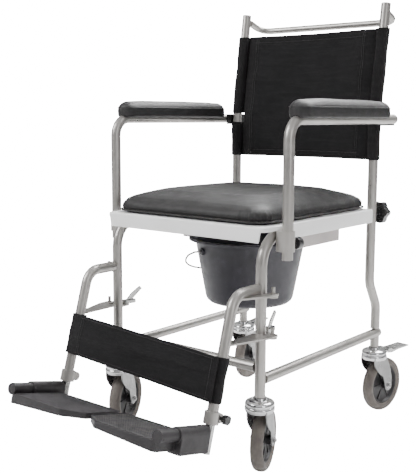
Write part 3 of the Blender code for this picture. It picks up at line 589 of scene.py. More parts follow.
def inflate(obj, voxel, pressure, cap, held_below, frames=20):
    """Swell a closed soft form as cloth under pressure, with its underside held."""
    remesh = obj.modifiers.new("even", "REMESH")
    remesh.mode = "VOXEL"
    remesh.voxel_size = voxel
    even = applied(obj).data
    before = [v.co.copy() for v in even.vertices]
    group = obj.vertex_groups.new(name="held")
    for v in even.vertices:
        weight = min(max((held_below + 0.006 - v.co.z) / 0.006, 0.0), 1.0)
        if weight > 0:
            group.add([v.index], weight, "REPLACE")
    cloth = obj.modifiers.new("cloth", "CLOTH")
    cloth.settings.quality = 5
    cloth.settings.mass = 0.3
    cloth.settings.tension_stiffness = 25
    cloth.settings.compression_stiffness = 25
    cloth.settings.shear_stiffness = 12
    cloth.settings.bending_stiffness = 0.6
    cloth.settings.use_pressure = True
    cloth.settings.uniform_pressure_force = pressure
    cloth.settings.vertex_group_mass = "held"
    cloth.settings.effector_weights.gravity = 0
    cloth.collision_settings.use_collision = False
    cloth.point_cache.frame_start = 1
    cloth.point_cache.frame_end = frames
    scene = bpy.context.scene
    for step in range(1, frames + 1):
        scene.frame_set(step)
    done = obj.evaluated_get(bpy.context.evaluated_depsgraph_get())
    swollen = [v.co.copy() for v in done.data.vertices]
    obj.modifiers.clear()
    moves = []
    for a, b in zip(before, swollen):
        move = b - a
        moves.append(move * (cap / move.length) if move.length > cap else move)
    for v, a, move in zip(obj.data.vertices, before, evened(obj.data, moves, EVENING)):
        v.co = a + move
    scene.frame_set(1)
    return obj


def subdivided(obj, levels=1):
    mod = obj.modifiers.new("smooth", "SUBSURF")
    mod.levels = levels
    mod.render_levels = levels
    return applied(obj)


def eased(t):
    t = min(max(t, 0.0), 1.0)
    return t * t * (3 - 2 * t)


cushion_low, cushion_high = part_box("seat_cushion")
CUSHION_MID = (cushion_low + cushion_high) / 2
CUSHION_HALF_X = (cushion_high.x - cushion_low.x) / 2
CUSHION_HALF_Y = (cushion_high.y - cushion_low.y) / 2
SEAM_Z = cushion_low.z + 0.0065
CORNER_R = 0.040


def cushion_ring(inset, z, radius):
    return round_rectangle(CUSHION_HALF_X - inset, CUSHION_HALF_Y - inset, radius,
                           CUSHION_MID.x, CUSHION_MID.y, z)


rings = [cushion_ring(0.012, cushion_low.z, 0.034), cushion_ring(0.0055, cushion_low.z + 0.0015, 0.037),
         cushion_ring(0.0040, SEAM_Z, CORNER_R), cushion_ring(0.0022, SEAM_Z + 0.006, CORNER_R),
         cushion_ring(0.0035, SEAM_Z + 0.014, CORNER_R), cushion_ring(0.0090, SEAM_Z + 0.022, 0.040),
         cushion_ring(0.0180, SEAM_Z + 0.0285, 0.040), cushion_ring(0.0330, SEAM_Z + 0.0325, 0.042),
         cushion_ring(0.0700, SEAM_Z + 0.0355, 0.050)]
cushion = closed_loft("cushion", rings, VINYL)
inflate(cushion, 0.006, 4.0, 0.009, SEAM_Z - 0.001)
subdivided(cushion)


def pleats(mesh):
    """Gathers where the cover is drawn round the corners, and a pinch along the seam."""
    for v in mesh.vertices:
        p = v.co - CUSHION_MID
        u = abs(p.x) - (CUSHION_HALF_X - CORNER_R)
        w = abs(p.y) - (CUSHION_HALF_Y - CORNER_R)
        height = (v.co.z - SEAM_Z) / 0.032
        if v.co.z > SEAM_Z - 0.004:
            edge = max(abs(p.x) / CUSHION_HALF_X, abs(p.y) / CUSHION_HALF_Y)
            if edge > 0.93:
                pinch = math.exp(-((v.co.z - SEAM_Z) / 0.0032) ** 2) * 0.0022
                out = Vector((p.x if u > w else 0, p.y if w > u else 0, 0))
                if u > 0 and w > 0:
                    out = Vector((math.copysign(u, p.x), math.copysign(w, p.y), 0))
                if out.length > 0:
                    v.co -= out.normalized() * pinch
        if u > -0.02 and w > -0.02 and v.co.z > SEAM_Z:
            turn = math.atan2(max(w, 0.0) + 0.004, max(u, 0.0) + 0.004)
            reach = min(math.hypot(max(u, 0.0), max(w, 0.0)) / CORNER_R, 1.1)
            fold = math.sin(turn * 22 + 2.1 * math.copysign(1, p.x * p.y)) + 0.5 * math.sin(turn * 41 + 1.3)
            strength = 0.0013 * eased((reach - 0.45) / 0.5) * (1 - eased((height - 0.25) / 0.85))
            way = Vector((math.copysign(math.cos(turn), p.x), math.copysign(math.sin(turn), p.y), 0.25))
            way.normalize()
            v.co += way * fold * strength
        if v.co.z > SEAM_Z + 0.02:
            top = v.co * 5.0
            v.co.z += 0.0016 * noise.noise(top) + 0.0006 * noise.noise(v.co * 17)


pleats(cushion.data)
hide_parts("seat_cushion")
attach(cushion, "seat_cushion")

piping = rod("cushion_piping", round_rectangle(CUSHION_HALF_X - 0.0022, CUSHION_HALF_Y - 0.0022, CORNER_R,
                                               CUSHION_MID.x, CUSHION_MID.y, SEAM_Z - 0.0012, 14, 18),
             0.0019, VINYL, 5, True)
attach(piping, "seat_cushion")


# ---- the seat plate -------------------------------------------------------------------------
SKIRT_LOW = 0.473
SKIRT_HIGH = 0.4940
PLATE_UNDER = 0.4955
OPENING_Y = 0.0175                           # middle of the opening, along the seat
OPENING_HALF = (0.105, 0.1325)
OPENING_R = 0.10


def skirt_bottom(x, y):
    """Height of the skirt's lower edge: arched over the front bends and cut away along the rear rail."""
    across = abs(x)
    arch = eased((across - 0.1985) / 0.006) * eased((-0.1475 - y) / 0.006)
    rear = eased((y - 0.2120) / 0.003) * eased((0.2110 - across) / 0.003)
    return SKIRT_LOW + (SKIRT_HIGH - SKIRT_LOW) * max(arch, rear)


def opening_point(direction, z, grow=0.0):
    """Where a line from the middle of the opening meets its rounded edge."""
    near, far = 0.0, 0.3
    for _ in range(30):
        reach = (near + far) / 2
        p = direction * reach
        dx = max(abs(p.x) - (OPENING_HALF[0] - OPENING_R), 0.0)
        dy = max(abs(p.y) - (OPENING_HALF[1] - OPENING_R), 0.0)
        if math.hypot(dx, dy) < OPENING_R + grow:
            near = reach
        else:
            far = reach
    return at(direction.x * near, OPENING_Y + direction.y * near, z)


def seat_plate():
    half_x = (seat_high.x - seat_low.x) / 2
    half_y = (seat_high.y - seat_low.y) / 2
    mid_y = (seat_high.y + seat_low.y) / 2
    top = seat_high.z

    def outline(inset):
        return round_rectangle(half_x - inset, half_y - inset, 0.015 - inset, 0.0, mid_y, 0.0, 16, 280)

    edge = outline(0.0)
    towards = [Vector((p.x, p.y - SEAT_Y - OPENING_Y, 0)).normalized() for p in edge]
    low = [skirt_bottom(p.x, p.y - SEAT_Y) for p in edge]
    rings = [[opening_point(d, PLATE_UNDER) for d in towards],
             [opening_point(d, top - 0.0016) for d in towards],
             [opening_point(d, top - 0.0004, 0.0006) for d in towards],
             [opening_point(d, top, 0.0020) for d in towards]]
    for inset, drop in ((0.0045, 0.0), (0.0022, 0.0004), (0.0007, 0.0015), (0.0, 0.0034)):
        rings.append([Vector((p.x, p.y, top - drop)) for p in outline(inset)])
    for inset, rise in ((0.0, 0.0008), (0.0008, 0.0), (0.0026, 0.0), (0.0034, 0.0008)):
        rings.append([Vector((p.x, p.y, z + rise)) for p, z in zip(outline(inset), low)])
    rings.append([Vector((p.x, p.y, PLATE_UNDER)) for p in outline(0.0034)])
    n = len(edge)
    verts = [p for ring in rings for p in ring]
    faces = []
    for k in range(len(rings)):
        faces += belt(k, (k + 1) % len(rings), n)
    plate = from_points("seat_plate_moulding", verts, faces, WHITE)
    crease(plate, 40)
    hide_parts("seat_plate")
    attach(plate, "frame")


seat_plate()


# ---- the arm pads ---------------------------------------------------------------------------
def arm_pad(label):
    node = f"arm_pad_{label}"
    low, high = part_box(node)
    mid = (low + high) / 2
    half_x, half_y = (high.x - low.x) / 2, (high.y - low.y) / 2
    height = high.z - low.z
    rings = []
    for inset, z, less in ((0.0060, 0.0, 0.004), (0.0018, 0.0012, 0.001), (0.0008, 0.0050, 0.0),
                           (0.0004, 0.013, 0.0), (0.0006, 0.0215, 0.0), (0.0024, 0.0270, 0.001),
                           (0.0060, 0.0322, 0.003),
                           (0.0110, 0.0362, 0.007), (0.0170, 0.0385, 0.012)):
        radius = max(min(half_x - inset - 0.0005, half_x * 0.88 - less), 0.002)
        rings.append(round_rectangle(half_x - inset, half_y - inset, radius, mid.x, mid.y,
                                     low.z + z * height / 0.041, 10, 10))
    pad = closed_loft(f"pad_{label}", rings, VINYL)
    inflate(pad, 0.004, 4.0, 0.0035, low.z + 0.004)
    subdivided(pad)
    for v in pad.data.vertices:
        p = v.co
        rise = (p.z - low.z) / height
        along = (p.y - mid.y) / half_y
        if rise > 0.3:
            p.z -= 0.0022 * eased((abs(along) - 0.55) / 0.45) * eased((rise - 0.3) / 0.7)
            p.z += 0.0008 * noise.noise(p * 14)
    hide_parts(node)
    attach(pad, f"armrest_{label}")
    welt = round_rectangle(half_x - 0.0010, half_y - 0.0010, half_x * 0.87, mid.x, mid.y,
                           low.z + height * 0.54, 12, 16)
    edge = rod(f"pad_edge_{label}", welt, 0.0011, VINYL, 5, True)
    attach(edge, f"armrest_{label}")


for label, _ in SIDES:
    arm_pad(label)


# ---- the back upholstery --------------------------------------------------------------------
REAR_Y = 0.238
BEND_Z = 0.7067
LEAN = (0.276 - REAR_Y) / (0.970 - BEND_Z)


def upright_y(z):
    return REAR_Y + max(z - BEND_Z, 0.0) * LEAN


back_low, back_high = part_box("back_upholstery")
SLEEVE_R = 0.0132
PANEL_EDGE = 0.164
NOTCH = (0.7000, 0.7225)                     # heights between which the arms' cradles pass the sleeves
NOTCH_X = 0.171


def back_surface(x, z):
    """The sagging panel's middle surface."""
    sag = 0.2535 - 0.768 * x * x
    share = (z - back_low.z) / (back_high.z - back_low.z)
    ripple = 0.0011 * math.sin(x * 34 + 2.0 * math.sin(z * 9)) * (1 - abs(x) / 0.2)
    ripple += 0.0026 * noise.noise(Vector((x * 9, z * 7, 1.5)))
    ripple += 0.0012 * noise.noise(Vector((x * 26, z * 12, 7.1)))
    ripple += 0.0016 * math.exp(-((abs(x) - 0.150) / 0.012) ** 2) * math.sin(z * 75 + 8 * abs(x))
    hem = 0.0008 * (math.exp(-((share - 0.0) / 0.05) ** 2) + math.exp(-((share - 1.0) / 0.05) ** 2))
    return at(x, upright_y(z) - REAR_Y + sag + ripple - hem, z)


def sleeve_row(side, z):
    """From behind the upright, round its outside and front, to where the panel begins."""
    centre = at(side * LEG_X, upright_y(z), z)
    row = []
    flat = 0.0006 * math.sin(z * 63 + side) + 0.0006 * noise.noise(Vector((z * 40, side, 0)))
    for i in range(27):
        angle = math.radians(-205 + 250 * i / 26)
        # angle 0 points outwards and -90 to the front
        r = SLEEVE_R + flat * math.sin(angle * 2)
        row.append(centre + Vector((side * r * math.cos(angle), r * math.sin(angle), 0)))
    return row


def back_panel():
    rows = 64
    columns = 58
    verts, width = [], 0
    for j in range(rows + 1):
        z = back_low.z + 0.0012 + (back_high.z - back_low.z - 0.0024) * j / rows
        row = []
        left = sleeve_row(1, z)
        right = sleeve_row(-1, z)
        row += left[::-1]                                    # behind the left upright, round to its front
        start, end = row[-1], right[0]
        for i in range(1, columns):
            t = i / columns
            x = PANEL_EDGE * (1 - 2 * t)
            target = back_surface(x, z)
            near = min(t, 1 - t) * columns
            if near < 4:
                anchor = start if t < 0.5 else end
                share = eased(near / 4)
                target = target * share + (anchor + (target - anchor) * (near / 4)) * (1 - share)
            row.append(target)
        row += right
        width = len(row)
        verts += row
    faces = []
    for face in grid_faces(rows, width):
        first, second, _, above = (verts[k] for k in face)
        level = (first.z + above.z) / 2
        if not (NOTCH[0] < level < NOTCH[1] and abs(first.x + second.x) / 2 > NOTCH_X):
            faces.append(face)
    obj = from_points("back_cloth", verts, faces, NYLON)
    loose = bmesh.new()
    loose.from_mesh(obj.data)
    bmesh.ops.delete(loose, geom=[v for v in loose.verts if not v.link_faces], context="VERTS")
    loose.to_mesh(obj.data)
    loose.free()
    return thickened(obj, True)


back = back_panel()
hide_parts("back_upholstery")
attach(back, "backrest")

FRONT = Vector((0, -1, 0))


def on_back(x, z):
    return back_surface(x, z) + FRONT * PROUD


SEAM_STEPS = 60
HEM_IN = 0.0165
HEM_HALF = 0.158
lines = [(name, [on_back(-HEM_HALF + 2 * HEM_HALF * i / SEAM_STEPS, z) for i in range(SEAM_STEPS + 1)])
         for name, z in (("top_hem", back_high.z - HEM_IN), ("bottom_hem", back_low.z + HEM_IN))]
lines += [(name, [on_back(x, back_low.z + 0.005 + 0.289 * i / SEAM_STEPS) for i in range(SEAM_STEPS + 1)])
          for name, x in (("seam_left", 0.1535), ("seam_right", -0.1535),
                          ("seam_left_inner", 0.1485), ("seam_right_inner", -0.1485))]
for name, points in lines:
    stitches(f"back_{name}", points, THREAD, FRONT).parent = back


# ---- the calf strap -------------------------------------------------------------------------
HANGER_Z = 0.383
HANGER_CORNER_Y = -0.2866
SLOPE = 0.298


def hanger_y(z):
    return HANGER_CORNER_Y - SLOPE * (HANGER_Z - z)


STRAP_Z = 0.242
STRAP_HALF = 0.042
STRAP_R = 0.0140                             # the strap's turn round the right tube
DROP = 0.0105                                # the strap hangs lower at the left tube
TILT = math.atan(SLOPE)
UP_TUBE = Vector((0, math.sin(TILT), math.cos(TILT)))
FORWARD = Vector((0, -math.cos(TILT), math.sin(TILT)))


def strap_point(x, t, out):
    """t runs from -1 at the bottom edge to 1 at the top, out is the distance in front of the tubes' axes."""
    centre = at(x, hanger_y(STRAP_Z), STRAP_Z) + UP_TUBE * (-DROP * x / LEG_X)
    return centre + UP_TUBE * (t * STRAP_HALF) + FORWARD * out


def strap_out(x, t):
    share = x / LEG_X
    slack = -0.0045 * (1 - share * share)
    crease_line = 0.0022 * math.exp(-((t - 0.10 - 0.25 * share) / 0.16) ** 2) * (1 - share ** 4)
    wave = 0.0014 * math.sin(x * 26 + t * 2.2) + 0.0020 * noise.noise(Vector((x * 11, t * 1.1, 3.3)))
    return 0.0162 + slack + crease_line + wave * (1 - share ** 6)


def strap_band():
    rows, columns = 22, 64
    verts, width = [], 0
    for j in range(rows + 1):
        t = -1 + 2 * j / rows
        row = []
        for i in range(30):
            angle = math.radians(300 - 300 * i / 30)
            r = STRAP_R + 0.0004 * math.sin(t * 5 + angle * 2)
            centre = strap_point(-LEG_X, t, 0)
            row.append(centre + FORWARD * (r * math.cos(angle)) + Vector((-r * math.sin(angle), 0, 0)))
        for i in range(columns + 1):
            x = -LEG_X + (2 * LEG_X + 0.004) * i / columns
            start = min(i / 5, 1.0)
            row.append(strap_point(x, t, STRAP_R * (1 - eased(start)) + strap_out(x, t) * eased(start)))
        width = len(row)
        verts += row
    return thickened(from_points("strap_cloth", verts, grid_faces(rows, width), NYLON), False)


strap = strap_band()
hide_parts("calf_strap")
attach(strap, "legrest_right")


def on_strap(x, t):
    return strap_point(x, t, strap_out(x, t) + PROUD)


for name, edge in (("top", 0.87), ("bottom", -0.87)):
    points = [on_strap(-0.176 + 0.368 * i / 60, edge) for i in range(61)]
    stitches(f"strap_stitch_{name}", points, THREAD, FORWARD).parent = strap
for name, x in (("near_right", -0.171), ("far_right", -0.166), ("near_left", 0.186)):
    points = [on_strap(x, -0.9 + 1.8 * i / 24) for i in range(25)]
    stitches(f"strap_stitch_{name}", points, THREAD, FORWARD).parent = strap


def strap_sleeve():
    """The loop round the left tube that the strap closes over."""
    rows = 20
    outer = [(0.0131 + 0.0005 * math.sin(9 * k / rows), -1 + 2 * k / rows) for k in range(rows + 1)]
    profile = outer + [(0.0118, 1.0), (0.0118, -1.0)]
    base = basis(strap_point(LEG_X, 0, 0), UP_TUBE, (1, 0, 0))
    loop = lathe("strap_loop_cloth", [(r, t * STRAP_HALF) for r, t in profile], base, NYLON, 40)
    for v in loop.data.vertices:
        height = (v.co - strap_point(LEG_X, 0, 0)).dot(UP_TUBE) / STRAP_HALF
        away = (v.co - strap_point(LEG_X, height, 0))
        away -= UP_TUBE * away.dot(UP_TUBE)
        fold = 0.0004 * noise.noise(v.co * 60)
        v.co += away.normalized() * fold
    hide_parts("strap_loop")
    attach(loop, "legrest_left")


strap_sleeve()


# ---- the footplates' treads -----------------------------------------------------------------
FOOT_AXIS_Z = 0.1405
FOOT_ROOT_Y = hanger_y(FOOT_AXIS_Z)
FOOT_PITCH = math.radians(13.5)
PLATE_TOP = -0.008                           # top of the plate, below its pivot
RIB_PITCH = 0.0032
RIB_HALF = 0.0007
RIB_TALL = 0.0006


def clipped(start, way, corners):
    """The part of a line that lies inside a convex outline that runs counter-clockwise."""
    low, high = -1.0, 1.0
    for k, a in enumerate(corners):
        b = corners[(k + 1) % len(corners)]
        normal = Vector((a[1] - b[1], b[0] - a[0]))
        gap = normal.dot(start - Vector(a))
        slope = normal.dot(way)
        if abs(slope) < 1e-9:
            if gap < 0:
                return None
            continue
        t = -gap / slope
        if slope > 0:
            low = max(low, t)
        else:
            high = min(high, t)
    return (start + way * low, start + way * high) if high - low > 0.004 else None


def tread(label, side):
    pivot = at(side * LEG_X, FOOT_ROOT_Y, FOOT_AXIS_Z)
    where = Matrix.Translation(pivot) @ Matrix.Rotation(-FOOT_PITCH, 4, "X")
    corners = [(0.019, -0.142), (0.148, -0.142), (0.187, -0.114), (0.187, -0.026), (0.019, -0.026)]
    way = Vector((1, 1)).normalized()
    across = Vector((-way.y, way.x))
    verts, faces = [], []
    for k in range(-70, 71):
        span = clipped(Vector((0.103, -0.084)) + across * (k * RIB_PITCH), way, corners)
        if not span:
            continue
        first = len(verts)
        for end in span:
            for offset, z in ((-RIB_HALF, -0.0004), (RIB_HALF, -0.0004), (0.0, RIB_TALL)):
                q = end + across * offset
                verts.append(where @ Vector((-side * q.x, q.y, PLATE_TOP + z)))
        wedge = ((0, 1, 4, 3), (1, 2, 5, 4), (2, 0, 3, 5), (0, 2, 1), (3, 4, 5))
        faces += [tuple(first + i for i in f) for f in wedge]
    # the ribs take the lighter plastic, painted light on the treads' tops
    ribs = from_points(f"tread_{label}", verts, faces, TREAD_PAINTED_LIGHT, False)
    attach(ribs, f"footplate_{label}")
    edge = [(0.016, -0.1446), (0.149, -0.1446), (0.1896, -0.1155), (0.1896, -0.0235), (0.016, -0.0235)]
    ring = []
    for k, corner in enumerate(edge):
        b = Vector(edge[(k + 1) % len(edge)])
        ring += [Vector(corner).lerp(b, t) for t in (0.03, 0.25, 0.5, 0.75, 0.97)]
    rim = [where @ Vector((-side * q.x, q.y, PLATE_TOP)) for q in ring]
    lip = rod(f"tread_lip_{label}", rim, 0.0013, CHARCOAL, 6, True)
    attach(lip, f"footplate_{label}")


for label, side in SIDES:
    tread(label, side)


# ---- the pail and its bail ------------------------------------------------------------------
pail_low, pail_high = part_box("pail")
PAIL_MID = Vector(((pail_low.x + pail_high.x) / 2, (pail_low.y + pail_high.y) / 2, 0))


WALL_LOW = 0.019                             # the wall's straight slope starts here, above the floor
WALL_LOW_R = 0.1018
WALL_HIGH_R = 0.1240


def pail():
    floor = pail_low.z
    top = pail_high.z
    rim = (pail_high.x - pail_low.x) / 2
    wall = 0.0022
    outer = [(0.0, floor + 0.0020), (0.070, floor + 0.0020), (0.0725, floor), (0.0835, floor),
             (0.0920, floor + 0.0024), (0.0978, floor + 0.0076), (0.1008, floor + 0.0140),
             (WALL_LOW_R, floor + WALL_LOW)]
    steps = 10
    for k in range(1, steps + 1):
        share = k / steps
        rise = top - 0.0105 - floor - WALL_LOW
        outer.append((WALL_LOW_R + (WALL_HIGH_R - WALL_LOW_R) * share, floor + WALL_LOW + rise * share))
    lip = [(0.1252, top - 0.0078), (0.1268, top - 0.0062), (rim - 0.0022, top - 0.0052),
           (rim - 0.0006, top - 0.0050),
           (rim, top - 0.0034), (rim - 0.0004, top - 0.0012), (rim - 0.0024, top), (0.1290, top - 0.0004),
           (0.1250, top - 0.0022), (0.1226, top - 0.0072)]
    inner = [(r - wall, h) for r, h in outer[::-1] if h > floor + 0.010]
    bottom = [(0.0960, floor + 0.0082), (0.0905, floor + 0.0048), (0.0, floor + 0.0046)]
    body = lathe("pail_body", outer + lip + inner[1:] + bottom, Matrix.Translation(PAIL_MID), PAIL, 128)
    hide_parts("pail")
    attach(body, "pail")


pail()

bail_hinge = Vector(JOINTS["bail_swing"]["pos_m"])
EAR = Vector(JOINTS["bail_swing"]["axis"]).normalized()
BAIL_R = 0.150
DROOP = math.radians(27)


def bail():
    out = EAR.cross(Vector((0, 0, 1))).normalized()
    if out.x > 0:
        out = -out
    way = out * math.cos(DROOP) - Vector((0, 0, math.sin(DROOP)))
    points = [bail_hinge + EAR * 0.1262, bail_hinge + EAR * 0.1420]
    for i in range(41):
        a = math.radians(7 + 166 * i / 40)
        points.append(bail_hinge + BAIL_R * (EAR * math.cos(a) + way * math.sin(a)))
    points += [bail_hinge - EAR * 0.1420, bail_hinge - EAR * 0.1262]
    wire = rod("bail_wire", points, 0.0023, STEEL, 6)
    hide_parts("pail_bail")
    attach(wire, "pail_bail")
    grip_line = [bail_hinge + BAIL_R * (EAR * math.cos(math.radians(a)) + way * math.sin(math.radians(a)))
                 for a in range(72, 109, 3)]
    grip = rod("bail_grip", grip_line, 0.0046, BLACK_MATT, 6, False,
               lambda t: 1.0 - 0.22 * math.exp(-((t - 0.5) / 0.3) ** 2) + 0.10 * math.cos(t * 60))
    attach(grip, "pail_bail")
    for sign in (1, -1):
        boss = lathe(f"bail_boss_{'front' if sign > 0 else 'rear'}",
                     [(0, 0.112), (0.0085, 0.112), (0.0085, 0.1250), (0.0070, 0.1268), (0.0032, 0.1272),
                      (0, 0.1272)],
                     basis(bail_hinge, EAR * sign), PAIL, 28)
        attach(boss, "pail")


bail()


# ---- castors --------------------------------------------------------------------------------
WHEEL_R = 0.0655


def castor(name):
    swivel = JOINTS[f"castor_{name}_swivel"]
    spin = JOINTS[f"wheel_{name}_spin"]
    hub_at = Vector(spin["pos_m"])
    axle = Vector(spin["axis"]).normalized()
    leg = Vector((swivel["pos_m"][0], swivel["pos_m"][1], 0))
    wheel = basis(hub_at, axle, (0, 0, 1))
    w, r = 0.0135, WHEEL_R
    profile = [(0.0466, 0.0092), (0.0482, 0.0108), (0.0520, 0.0126), (0.0560, w), (0.0595, w - 0.0008),
               (0.0625, w - 0.0030), (0.0643, w - 0.0060), (0.0652, 0.0040), (r, 0.0), (0.0652, -0.0040),
               (0.0643, -w + 0.0060), (0.0625, -w + 0.0030), (0.0595, -w + 0.0008), (0.0560, -w),
               (0.0520, -0.0126), (0.0482, -0.0108), (0.0466, -0.0092)]
    tyre = lathe(f"tyre_{name}", profile, wheel, RUBBER, 96)
    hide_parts(f"castor_tyre_{name}")
    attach(tyre, f"wheel_{name}")
    face = [(0.0044, 0.0168), (0.0090, 0.0168), (0.0102, 0.0158), (0.0106, 0.0070), (0.0130, 0.0052),
            (0.0150, 0.0048), (0.0385, 0.0036), (0.0410, 0.0042), (0.0430, 0.0076), (0.0440, 0.0092),
            (0.0464, 0.0094), (0.0469, 0.0086)]
    hub = lathe(f"hub_{name}", face + [(a, -b) for a, b in face[::-1]], wheel, BLACK_MATT, 64)
    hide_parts(f"castor_hub_{name}")
    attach(hub, f"wheel_{name}")
    for flip in (1, -1):
        for k in range(6):
            a = 2 * math.pi * k / 6
            way = wheel.to_3x3() @ Vector((math.cos(a), math.sin(a), 0))
            cross = wheel.to_3x3() @ Vector((-math.sin(a), math.cos(a), 0))
            start = hub_at + way * 0.0125 + axle * flip * 0.0030
            turned = Matrix((way, cross * flip, axle * flip)).transposed().to_4x4()
            rib = slab(f"hub_rib_{name}_{k}{'a' if flip > 0 else 'b'}",
                       [(0, -0.0013), (0.0285, -0.0010), (0.0285, 0.0010), (0, 0.0013)], 0.0, 0.0030,
                       Matrix.Translation(start) @ turned, BLACK_MATT, 0.0005)
            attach(rib, f"wheel_{name}")

    # the pressed fork: a cheek each side of the wheel, drawn down from the crown
    trail = (hub_at - leg)
    trail.z = 0
    length = trail.length
    back = trail.normalized()
    upright = Vector((0, 0, 1))
    plane = Matrix((back, upright, back.cross(upright))).transposed().to_4x4()
    crown_low = 0.1390
    outline = [(-0.0235, crown_low + 0.0040), (-0.0245, crown_low - 0.0060)]
    outline += [(-0.0245 + 0.0012 * k + 0.00205 * k * k, crown_low - 0.0060 - 0.0108 * k)
                for k in range(1, 5)]
    outline += arc(length, WHEEL_R, 0.0125, 190, 360, 14)
    outline += [(length + 0.0124, WHEEL_R + 0.018), (length + 0.0070, WHEEL_R + 0.040),
                (length - 0.0020, crown_low - 0.0150), (0.0255, crown_low - 0.0040),
                (0.0235, crown_low + 0.0040)]
    for sign in (1, -1):
        out = back.cross(upright) * sign
        spot = Matrix.Translation(leg + out * 0.0183) @ plane
        letter = "a" if sign > 0 else "b"
        low, high = (0.0, 0.0028) if sign > 0 else (-0.0028, 0.0)
        cheek = slab(f"fork_{name}_{letter}", outline, low, high, spot, FORK, 0.0009)
        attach(cheek, f"castor_{name}")
        axle_out = axle * (1 if axle.dot(out) > 0 else -1)
        nut = [(5.6 * MM * math.cos(math.pi * i / 3), 5.6 * MM * math.sin(math.pi * i / 3)) for i in range(6)]
        where = basis(hub_at + axle_out * 0.0210, axle_out)
        hexed = slab(f"axle_nut_{name}_{letter}", nut, 0.0006, 0.0050, where, CHROME, 0.0006)
        washer = lathe(f"axle_washer_{name}_{letter}",
                       [(0, -0.0002), (0.0078, -0.0002), (0.0078, 0.0006), (0, 0.0008)], where, ZINC, 28)
        tip = lathe(f"axle_tip_{name}_{letter}",
                    [(0, 0.004), (0.0031, 0.004), (0.0031, 0.0062), (0.0022, 0.0070), (0, 0.0071)],
                    where, STEEL, 20)
        for obj in (hexed, washer, tip):
            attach(obj, f"castor_{name}")
    crown_top = 0.1645
    crown = [(0.0, crown_low - 0.0006), (0.0215, crown_low - 0.0006), (0.0240, crown_low - 0.0036),
             (0.0285, crown_low - 0.0030), (0.0302, crown_low + 0.0010), (0.0304, crown_low + 0.0062),
             (0.0290, crown_low + 0.0082), (0.0272, crown_low + 0.0088), (0.0270, crown_low + 0.0104),
             (0.0298, crown_low + 0.0112), (0.0300, crown_low + 0.0142), (0.0280, crown_low + 0.0176),
             (0.0235, crown_low + 0.0200), (0.0190, crown_low + 0.0210), (0.0176, crown_low + 0.0196),
             (0.0158, crown_low + 0.0192), (0.0150, crown_low + 0.0225), (0.0138, crown_top),
             (0.0, crown_top)]
    top = lathe(f"crown_{name}", crown, Matrix.Translation(leg), CHROME, 64)
    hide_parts(f"castor_fork_{name}")
    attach(top, f"castor_{name}")
    nutted = [(0.0100 * math.cos(math.pi * i / 3), 0.0100 * math.sin(math.pi * i / 3)) for i in range(6)]
    king = slab(f"kingpin_{name}", nutted, crown_low - 0.0060, crown_low - 0.0004,
                Matrix.Translation(leg), STEEL, 0.0008)
    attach(king, f"castor_{name}")


for name in ("front_left", "front_right", "rear_left", "rear_right"):
    castor(name)


# ---- stage, light, camera -------------------------------------------------------------------
FLOOR_HALF = 30
FLOOR_Z = -0.0005
FLOOR_GLOW = 20.0                            # only what the camera sees directly
BACKDROP_GLOW = 22.0
ROOM_GLOW = 0.75


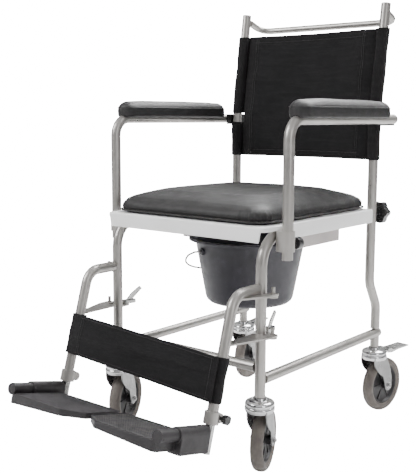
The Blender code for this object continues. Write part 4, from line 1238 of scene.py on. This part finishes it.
def stage():
    floor_mat = Finish("studio_floor", (0.80, 0.80, 0.80), 0.7)
    floor_mat.shader.inputs["Emission Color"].default_value = (1, 1, 1, 1)
    seen = floor_mat.node("ShaderNodeLightPath").outputs["Is Camera Ray"]
    floor_mat.paint("Emission Strength", floor_mat.sums(seen, FLOOR_GLOW, "MULTIPLY"))
    floor_mat.paint("Roughness", floor_mat.ramp(floor_mat.cloud(2.0, 2), 0.6, 0.7))
    corners = [(x * FLOOR_HALF, y * FLOOR_HALF, FLOOR_Z) for x, y in ((-1, -1), (1, -1), (1, 1), (-1, 1))]
    floor = from_points("studio_floor", corners, [(0, 1, 2, 3)], floor_mat.mat, False)
    world = bpy.data.worlds.new("studio")
    world.use_nodes = True
    tree = world.node_tree
    back = tree.nodes["Background"]
    # a grey room that is darker low down lights the chair, and the backdrop itself is white
    where = tree.nodes.new("ShaderNodeTexCoord")
    split = tree.nodes.new("ShaderNodeSeparateXYZ")
    tree.links.new(where.outputs["Generated"], split.inputs["Vector"])
    ramp = tree.nodes.new("ShaderNodeValToRGB")
    ramp.color_ramp.elements[0].position = 0.44
    ramp.color_ramp.elements[0].color = (0.02, 0.02, 0.02, 1)
    ramp.color_ramp.elements[1].position = 0.80
    ramp.color_ramp.elements[1].color = (1.0, 1.0, 1.0, 1)
    lift = tree.nodes.new("ShaderNodeMapRange")
    lift.inputs["From Min"].default_value = -1.0
    tree.links.new(split.outputs["Z"], lift.inputs["Value"])
    tree.links.new(lift.outputs["Result"], ramp.inputs["Fac"])
    tree.links.new(ramp.outputs["Color"], back.inputs["Color"])
    back.inputs["Strength"].default_value = ROOM_GLOW
    white = tree.nodes.new("ShaderNodeBackground")
    white.inputs["Color"].default_value = (1, 1, 1, 1)
    white.inputs["Strength"].default_value = BACKDROP_GLOW
    path = tree.nodes.new("ShaderNodeLightPath")
    both = tree.nodes.new("ShaderNodeMixShader")
    tree.links.new(path.outputs["Is Camera Ray"], both.inputs[0])
    tree.links.new(back.outputs["Background"], both.inputs[1])
    tree.links.new(white.outputs["Background"], both.inputs[2])
    tree.links.new(both.outputs["Shader"], tree.nodes["World Output"].inputs["Surface"])
    bpy.context.scene.world = world


def softbox(name, where, towards, size, power, colour=(1, 1, 1)):
    data = bpy.data.lights.new(name, "AREA")
    data.shape = "RECTANGLE"
    data.size, data.size_y = size
    data.energy = power
    data.color = colour
    light = bpy.data.objects.new(name, data)
    light.location = where
    light.rotation_euler = (Vector(towards) - Vector(where)).to_track_quat("-Z", "Y").to_euler()
    bpy.context.scene.collection.objects.link(light)


KEY, FILL, TOP = 95, 18, 235                 # watts
LENS = 42.114                                # millimetres
YAW, PITCH, ROLL = (math.radians(a) for a in (39.16, -8.01, 0.22))


def camera():
    data = bpy.data.cameras.new("camera")
    data.sensor_fit = "VERTICAL"
    data.sensor_height = 24.0
    data.lens = LENS
    data.shift_y = -0.0063
    eye = bpy.data.objects.new("camera", data)
    eye.location = at(1.1134, -1.4892, 0.7122)
    eye.rotation_mode = "XYZ"
    view = Matrix.Rotation(YAW, 4, "Z") @ Matrix.Rotation(math.pi / 2 + PITCH, 4, "X")
    view = view @ Matrix.Rotation(ROLL, 4, "Z")
    eye.rotation_euler = view.to_euler()
    bpy.context.scene.collection.objects.link(eye)
    bpy.context.scene.camera = eye


stage()
softbox("key", (-1.7, -2.4, 2.7), (0, 0, 0.45), (1.6, 1.8), KEY)
softbox("fill", (2.8, -1.2, 1.5), (0, 0, 0.4), (1.0, 2.2), FILL)
softbox("top", (0.1, 1.7, 2.9), (0, 0.1, 0.45), (2.4, 1.8), TOP)
camera()
